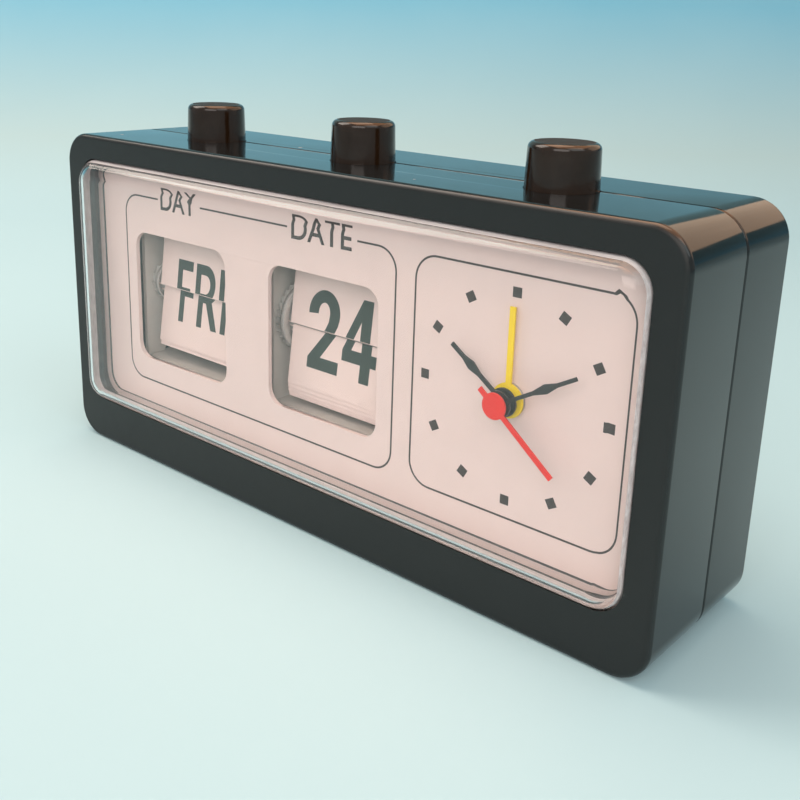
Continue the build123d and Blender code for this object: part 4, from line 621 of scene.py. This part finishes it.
def ink_strip(name, path, closed=False):
    """A thin raised line of ink along a path on the dial's face."""
    points, faces = [], []
    count = len(path)
    for i, (x, z) in enumerate(path):
        before = path[i - 1] if i or closed else path[0]
        after = path[(i + 1) % count] if i + 1 < count or closed else path[-1]
        way = Vector((after[0] - before[0], after[1] - before[1])).normalized()
        side = Vector((-way.y, way.x)) * LINE_W / 2
        for depth in (DIAL_DEPTH - INK, DIAL_DEPTH):
            for sign in (-1, 1):
                points.append(spot(x + sign * side.x, depth, z + sign * side.y))
    for i in range(count if closed else count - 1):
        a, b = 4 * i, 4 * ((i + 1) % count)
        for u, v in ((0, 1), (1, 3), (3, 2), (2, 0)):
            faces.append((a + u, b + u, b + v, a + v))
    if not closed:
        faces.append((0, 1, 3, 2))
        last = 4 * (count - 1)
        faces.append((last, last + 2, last + 3, last + 1))
    made = mesh_object(name, points, faces)
    coat(made, INK_LINE)
    outward(made)
    settle(made, "case", "dial_print")


def frame_path(left, right, low, high, radius):
    """A rounded rectangle's points, clockwise from the right end of its top edge."""
    loop = rounded_loop((right - left) / 2, (high - low) / 2, radius, FRAME_STEPS)[::-1]
    corner = FRAME_STEPS + 1
    return [((left + right) / 2 + x, (low + high) / 2 + z) for x, z in loop[-corner:] + loop[:-corner]]


def dial_lines():
    """The two printed frames: one round both counters, open at its words, and one round the clock."""
    high = COUNTER_FRAME[3]
    ink_strip("counter_frame_line",
              [(FRAME_START, high)] + frame_path(*COUNTER_FRAME) + [(FRAME_END, high)])
    ink_strip("counter_top_line", [(x, high) for x in TOP_LINE])
    ink_strip("clock_frame_line", frame_path(*CLOCK_FRAME), closed=True)


def thicken(made, way):
    """Turns a flat outline into a closed film of ink that stands out along a direction."""
    sheet = bmesh.new()
    sheet.from_mesh(made.data)
    bmesh.ops.remove_doubles(sheet, verts=sheet.verts, dist=1e-7)
    raised = bmesh.ops.extrude_face_region(sheet, geom=sheet.faces[:])
    for part in raised["geom"]:
        if isinstance(part, bmesh.types.BMVert):
            part.co += way * INK * MM
    bmesh.ops.recalc_face_normals(sheet, faces=sheet.faces)
    sheet.to_mesh(made.data)
    sheet.free()


def dial_word(text, left, right):
    """A generic word in the built-in face, fitted to its box on the dial."""
    curve = bpy.data.curves.new(text + "_word", "FONT")
    curve.body = text
    curve.offset = WORD_WEIGHT
    made = plain_mesh(placed(text + "_word", curve))
    xs = [v.co.x for v in made.data.vertices]
    ys = [v.co.y for v in made.data.vertices]
    wide, tall = max(xs) - min(xs), max(ys) - min(ys)
    for v in made.data.vertices:
        v.co = spot(left + (v.co.x - min(xs)) / wide * (right - left), DIAL_DEPTH,
                    WORD_LOW + (v.co.y - min(ys)) / tall * (WORD_HIGH - WORD_LOW))
    thicken(made, Vector((0, -1, 0)))
    coat(made, INK_LINE)
    settle(made, "case", "dial_print")


def hour_markers():
    """Small printed squares round the hands, set out by a node tree."""
    tree = bpy.data.node_groups.new("hour markers", "GeometryNodeTree")
    for label, kind, value in (("Count", "NodeSocketInt", MARKER_COUNT),
                               ("Radius", "NodeSocketFloat", MARKER_CIRCLE_R * MM),
                               ("Side", "NodeSocketFloat", MARKER_SIDE * MM),
                               ("Film", "NodeSocketFloat", INK * MM)):
        socket = tree.interface.new_socket(label, in_out="INPUT", socket_type=kind)
        socket.default_value = value
    tree.interface.new_socket("Markers", in_out="OUTPUT", socket_type="NodeSocketGeometry")
    source, sink = add(tree, "NodeGroupInput"), add(tree, "NodeGroupOutput")
    circle = add(tree, "GeometryNodeMeshCircle")
    square = add(tree, "GeometryNodeMeshCube")
    size = add(tree, "ShaderNodeCombineXYZ")
    index = add(tree, "GeometryNodeInputIndex")
    step = add(tree, "ShaderNodeMath", operation="DIVIDE")
    turn = add(tree, "ShaderNodeMath", operation="MULTIPLY")
    angle = add(tree, "ShaderNodeCombineXYZ")
    set_out = add(tree, "GeometryNodeInstanceOnPoints")
    stand = add(tree, "GeometryNodeTransform")
    whole = add(tree, "GeometryNodeRealizeInstances")
    painted = add(tree, "GeometryNodeSetMaterial")
    painted.inputs["Material"].default_value = INK_LINE
    step.inputs[0].default_value = 2 * math.pi
    stand.inputs["Translation"].default_value = spot(CLOCK_X, DIAL_DEPTH - INK / 2, CLOCK_Z)
    stand.inputs["Rotation"].default_value = (math.pi / 2, 0, 0)
    join(tree, (source.outputs["Count"], circle.inputs["Vertices"]),
         (source.outputs["Radius"], circle.inputs["Radius"]),
         (source.outputs["Side"], size.inputs[0]), (source.outputs["Side"], size.inputs[1]),
         (source.outputs["Film"], size.inputs[2]), (size.outputs[0], square.inputs["Size"]),
         (source.outputs["Count"], step.inputs[1]), (step.outputs[0], turn.inputs[0]),
         (index.outputs[0], turn.inputs[1]), (turn.outputs[0], angle.inputs[2]),
         (circle.outputs[0], set_out.inputs["Points"]), (square.outputs[0], set_out.inputs["Instance"]),
         (angle.outputs[0], set_out.inputs["Rotation"]), (set_out.outputs[0], stand.inputs["Geometry"]),
         (stand.outputs[0], whole.inputs[0]), (whole.outputs[0], painted.inputs["Geometry"]),
         (painted.outputs[0], sink.inputs[0]))
    made = mesh_object("hour_markers", [], [])
    made.modifiers.new("set out", "NODES").node_group = tree
    settle(plain_mesh(made), "case", "dial_print")


dial_lines()
for text, left, right in WORDS:
    dial_word(text, left, right)
hour_markers()


# Print on the leaves

def bow(x, z, rx, rz, start, end, steps=14):
    """Points along an elliptic arc, in degrees."""
    turns = [math.radians(start + (end - start) * i / steps) for i in range(steps + 1)]
    return [(x + rx * math.cos(t), z + rz * math.sin(t)) for t in turns]


# Outlines of the leaf characters, first the outer one and then its hole, from the lower left
CHARACTERS = {
    "F": [[(0, 0), (1.9, 0), (1.9, 6.7), (5.2, 6.7), (5.2, 9.1), (1.9, 9.1), (1.9, 13.5), (5.9, 13.5),
           (5.9, 16.0), (0, 16.0)]],
    "R": [[(0, 0), (1.9, 0), (1.9, 6.4), (3.0, 6.4), (5.6, 0), (7.8, 0), (5.2, 6.9)]
          + bow(3.8, 11.35, 3.7, 4.65, -52, 90) + [(0, 16.0)],
          [(1.9, 8.8)] + bow(3.7, 11.15, 1.85, 2.35, -90, 90) + [(1.9, 13.5)]],
    "I": [[(0, 0), (1.9, 0), (1.9, 16.0), (0, 16.0)]],
    "S": [bow(3.9, 12.35, 3.7, 4.35, 15, 270) + bow(3.9, 4.6, 1.35, 3.4, 90, -90)
          + bow(3.9, 4.5, 1.5, 2.3, -90, -165) + [(0.0, 4.2)]
          + bow(3.9, 4.6, 3.9, 4.6, -178, 90) + bow(3.9, 12.35, 1.3, 2.0, 270, 15)],
    "A": [[(0, 0), (2.6, 0), (3.2, 3.4), (6.0, 3.4), (6.6, 0), (9.2, 0), (6.1, 16.7), (3.1, 16.7)],
          [(3.6, 5.9), (5.6, 5.9), (4.6, 12.4)]],
    "T": [[(2.6, 0), (5.1, 0), (5.1, 14.1), (7.7, 14.1), (7.7, 16.7), (0, 16.7), (0, 14.1),
           (2.6, 14.1)]],
    "2": [bow(4.8, 13.1, 4.75, 5.2, 187, -8, 20)
          + [(9.2, 11.0), (8.2, 8.9), (3.9, 2.9), (9.5, 2.9), (9.5, 0), (0, 0), (0, 2.5), (5.5, 9.6),
             (6.3, 11.3)] + bow(4.75, 13.1, 1.75, 2.4, -5, 188)],
    "4": [[(5.6, 18.3), (8.5, 18.3), (8.5, 6.7), (10.1, 6.7), (10.1, 3.9), (8.5, 3.9), (8.5, 0),
           (5.6, 0), (5.6, 3.9), (0, 3.9), (0, 6.4)], [(2.6, 6.7), (5.6, 6.7), (5.6, 13.4)]],
    "5": [[(1.0, 18.3), (8.9, 18.3), (8.9, 15.4), (3.4, 15.4), (3.2, 12.0)]
          + bow(4.7, 6.1, 4.8, 6.1, 103, -165, 20)
          + bow(4.7, 6.1, 1.8, 3.2, -160, 118) + [(0.3, 8.9)]],
}
WIDTHS = {"F": 5.9, "R": 7.8, "I": 1.9, "S": 7.8, "A": 9.2, "T": 7.7, "2": 9.5, "4": 10.1, "5": 9.5}


def leaf_word(name, text, size):
    """A counter's word as a flat mesh in X and Z millimetres."""
    curve = bpy.data.curves.new(name, "CURVE")
    curve.dimensions = "2D"
    curve.fill_mode = "BOTH"
    wide = sum(WIDTHS[c] for c in text) + size["gap"] * (len(text) - 1)
    start = size["x"] + WORD_SHIFT - wide / 2
    for c in text:
        for outline in CHARACTERS[c]:
            spline = curve.splines.new("POLY")
            spline.points.add(len(outline) - 1)
            for point, (x, z) in zip(spline.points, outline):
                point.co = (start + x, size["foot"] + z, 0, 1)
            spline.use_cyclic_u = True
        start += WIDTHS[c] + size["gap"]
    return plain_mesh(placed(name, curve))


def half_word(name, text, size, split, upper):
    """The half of a word above or below the split; a lower half is turned over about the hinge line,
    so that it reads upright on a leaf that hangs or has flipped."""
    made = leaf_word(name, text, size)
    sheet = bmesh.new()
    sheet.from_mesh(made.data)
    bmesh.ops.bisect_plane(sheet, geom=sheet.verts[:] + sheet.edges[:] + sheet.faces[:],
                           plane_co=(0, split, 0), plane_no=(0, 1, 0),
                           clear_inner=upper, clear_outer=not upper)
    sheet.to_mesh(made.data)
    sheet.free()
    if not upper:
        for v in made.data.vertices:
            v.co.y = 2 * HINGE_Z - v.co.y
    return made


def lay_on_leaf(made, body, pin, lean, face, back=0.0):
    """Lays a half word on a leaf: heights become distances from its pin, on its front or back face."""
    way = Vector((0, math.sin(lean), math.cos(lean)))
    out = Vector((0, -math.cos(lean), math.sin(lean))) * face
    for v in made.data.vertices:
        run = v.co.y - HINGE_Z - back
        v.co = spot(v.co.x, *pin) + (way * run + out * LEAF_HALF) * MM
    thicken(made, out)
    coat(made, INK_LEAF)
    settle(made, body, "leaf_plastic")


def leaf_top_edge(unit, pin, lean, rise):
    """The upper edge of the hanging leaf, which reaches up behind the front leaf's lower edge."""
    low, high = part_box(unit + "_flip_leaf")
    way = Vector((0, math.sin(lean), math.cos(lean)))
    out = Vector((0, math.cos(lean), -math.sin(lean)))
    points = []
    for x in (low.x / MM + EDGE_INSET, high.x / MM - EDGE_INSET):
        for up in (LEAF_EDGE - EDGE_LAP, rise):
            for side in (-LEAF_HALF, LEAF_HALF):
                points.append(spot(x, *pin) + (out * side - way * up) * MM)
    made = mesh_object(unit + "_leaf_top_edge", points, [(0, 1, 3, 2), (4, 6, 7, 5), (0, 4, 5, 1),
                                                         (2, 3, 7, 6), (0, 2, 6, 4), (1, 5, 7, 3)])
    coat(made, FINISHES["leaf_plastic"])
    outward(made)
    settle(made, "case", "leaf_plastic")


def print_counter(unit):
    """Both halves of the shown word, and of the one that follows, on the leaves that carry them."""
    size = COUNTERS[unit]
    circle, turn = size["circle"], 2 * math.pi / size["count"]
    pin_depth = size["axis"] - circle * math.cos(turn)
    hanging = (pin_depth, HINGE_Z - circle * math.sin(turn))
    standing = (pin_depth, HINGE_Z + circle * math.sin(turn))
    front = (HINGE_DEPTH, HINGE_Z)
    front_body = unit + "_flip_leaf"
    sway = HANG_SWAY + GATHER_SHARE * circle * (1 - math.cos(turn))
    hang_lean = math.pi + math.asin(sway / LEAF_H)
    rise = (HINGE_Z - LOWER_DROP - hanging[1]) / -math.cos(hang_lean)
    upper = half_word(unit + "_upper_print", size["shown"], size, HINGE_Z, True)
    lay_on_leaf(upper, front_body, front, LEAF_LEAN, 1)
    lower = half_word(unit + "_lower_print", size["shown"], size, HINGE_Z - SPLIT_LOW, False)
    lay_on_leaf(lower, "case", hanging, hang_lean, -1, rise)
    leaf_top_edge(unit, hanging, hang_lean, rise - SPLIT_LOW)
    next_upper = half_word(unit + "_next_upper_print", size["following"], size, HINGE_Z + NEXT_SPLIT, True)
    lay_on_leaf(next_upper, "case", standing, PACK_LEAN, 1)
    next_lower = half_word(unit + "_next_lower_print", size["following"], size, HINGE_Z - NEXT_SPLIT, False)
    lay_on_leaf(next_lower, front_body, front, LEAF_LEAN, -1)


for unit in COUNTERS:
    print_counter(unit)


# Stage, light and camera

def paper_finish():
    """Pale paper that darkens upwards, faintly mottled."""
    made, tree, shader = finish_of("stage_paper")
    height = place_along(tree, "Z")
    colour = PAPER[0][1]
    for (low, _), (high, above) in zip(PAPER, PAPER[1:]):
        colour = tint(tree, spread(tree, height, low, high), colour, above)
    mottle = spread(tree, noise(tree, object_place(tree), 9.0), 0.3, 0.7, 0.0, 0.06)
    join(tree, (tint(tree, mottle, colour, PAPER_MOTTLE), shader.inputs["Base Color"]))
    shader.inputs["Roughness"].default_value = 0.9
    shader.inputs["Specular IOR Level"].default_value = 0.1
    return made


def stage_paper():
    """A pale sheet that lies under the clock and sweeps up behind it."""
    away = Vector((-math.sin(CAMERA_TURN), math.cos(CAMERA_TURN), 0))
    across = Vector((math.cos(CAMERA_TURN), math.sin(CAMERA_TURN), 0))
    turns = [math.pi / 2 * i / SWEEP_STEPS for i in range(SWEEP_STEPS + 1)]
    run = [(PAPER_NEAR, 0.0)]
    run += [(PAPER_FAR + SWEEP_R * math.sin(t), SWEEP_R * (1 - math.cos(t))) for t in turns]
    run += [(PAPER_FAR + SWEEP_R, PAPER_TOP)]
    points = [away * along + across * side + Vector((0, 0, up))
              for along, up in run for side in (-PAPER_HALF_W, PAPER_HALF_W)]
    faces = [(2 * i, 2 * i + 1, 2 * i + 3, 2 * i + 2) for i in range(len(run) - 1)]
    sweep = mesh_object("stage_sweep", points, faces)
    sweep.data.shade_smooth()
    coat(sweep, paper_finish())


def lamp(name, place, size, power, colour, lights_matt):
    """A soft rectangular lamp aimed at the middle of the clock; a reflector card shows in gloss alone."""
    light = bpy.data.lights.new(name, "AREA")
    light.shape = "RECTANGLE"
    light.size, light.size_y = size
    light.energy = power
    light.color = colour
    made = placed(name, light)
    made.location = place
    made.rotation_euler = (LAMP_AIM - Vector(place)).to_track_quat("-Z", "Y").to_euler()
    made.visible_camera = False
    made.visible_diffuse = lights_matt


def soft_room():
    """The plain pale light of the room."""
    world = bpy.data.worlds.new("soft room")
    bpy.context.scene.world = world
    world.use_nodes = True
    sky = world.node_tree.nodes["Background"]
    sky.inputs["Color"].default_value = ROOM_COLOUR
    sky.inputs["Strength"].default_value = ROOM_STRENGTH


def photo_camera():
    """The camera at the photograph's viewing angle."""
    view = bpy.data.cameras.new("photo_camera")
    view.sensor_width = CAMERA_SENSOR
    view.lens = CAMERA_LENS
    view.shift_x, view.shift_y = CAMERA_SHIFT_X, CAMERA_SHIFT_Y
    view.clip_start = CAMERA_NEAR
    made = placed("photo_camera", view)
    back = Vector((math.sin(CAMERA_TURN) * math.cos(CAMERA_RISE),
                   -math.cos(CAMERA_TURN) * math.cos(CAMERA_RISE), math.sin(CAMERA_RISE)))
    made.rotation_mode = "QUATERNION"
    made.rotation_quaternion = (-back).to_track_quat("-Z", "Y") @ Quaternion((0, 0, 1), CAMERA_ROLL)
    made.location = CAMERA_PLACE
    bpy.context.scene.camera = made


stage_paper()
for name, settings in LAMPS.items():
    lamp(name, *settings)
soft_room()
photo_camera()

bpy.context.scene.view_settings.view_transform = "Standard"
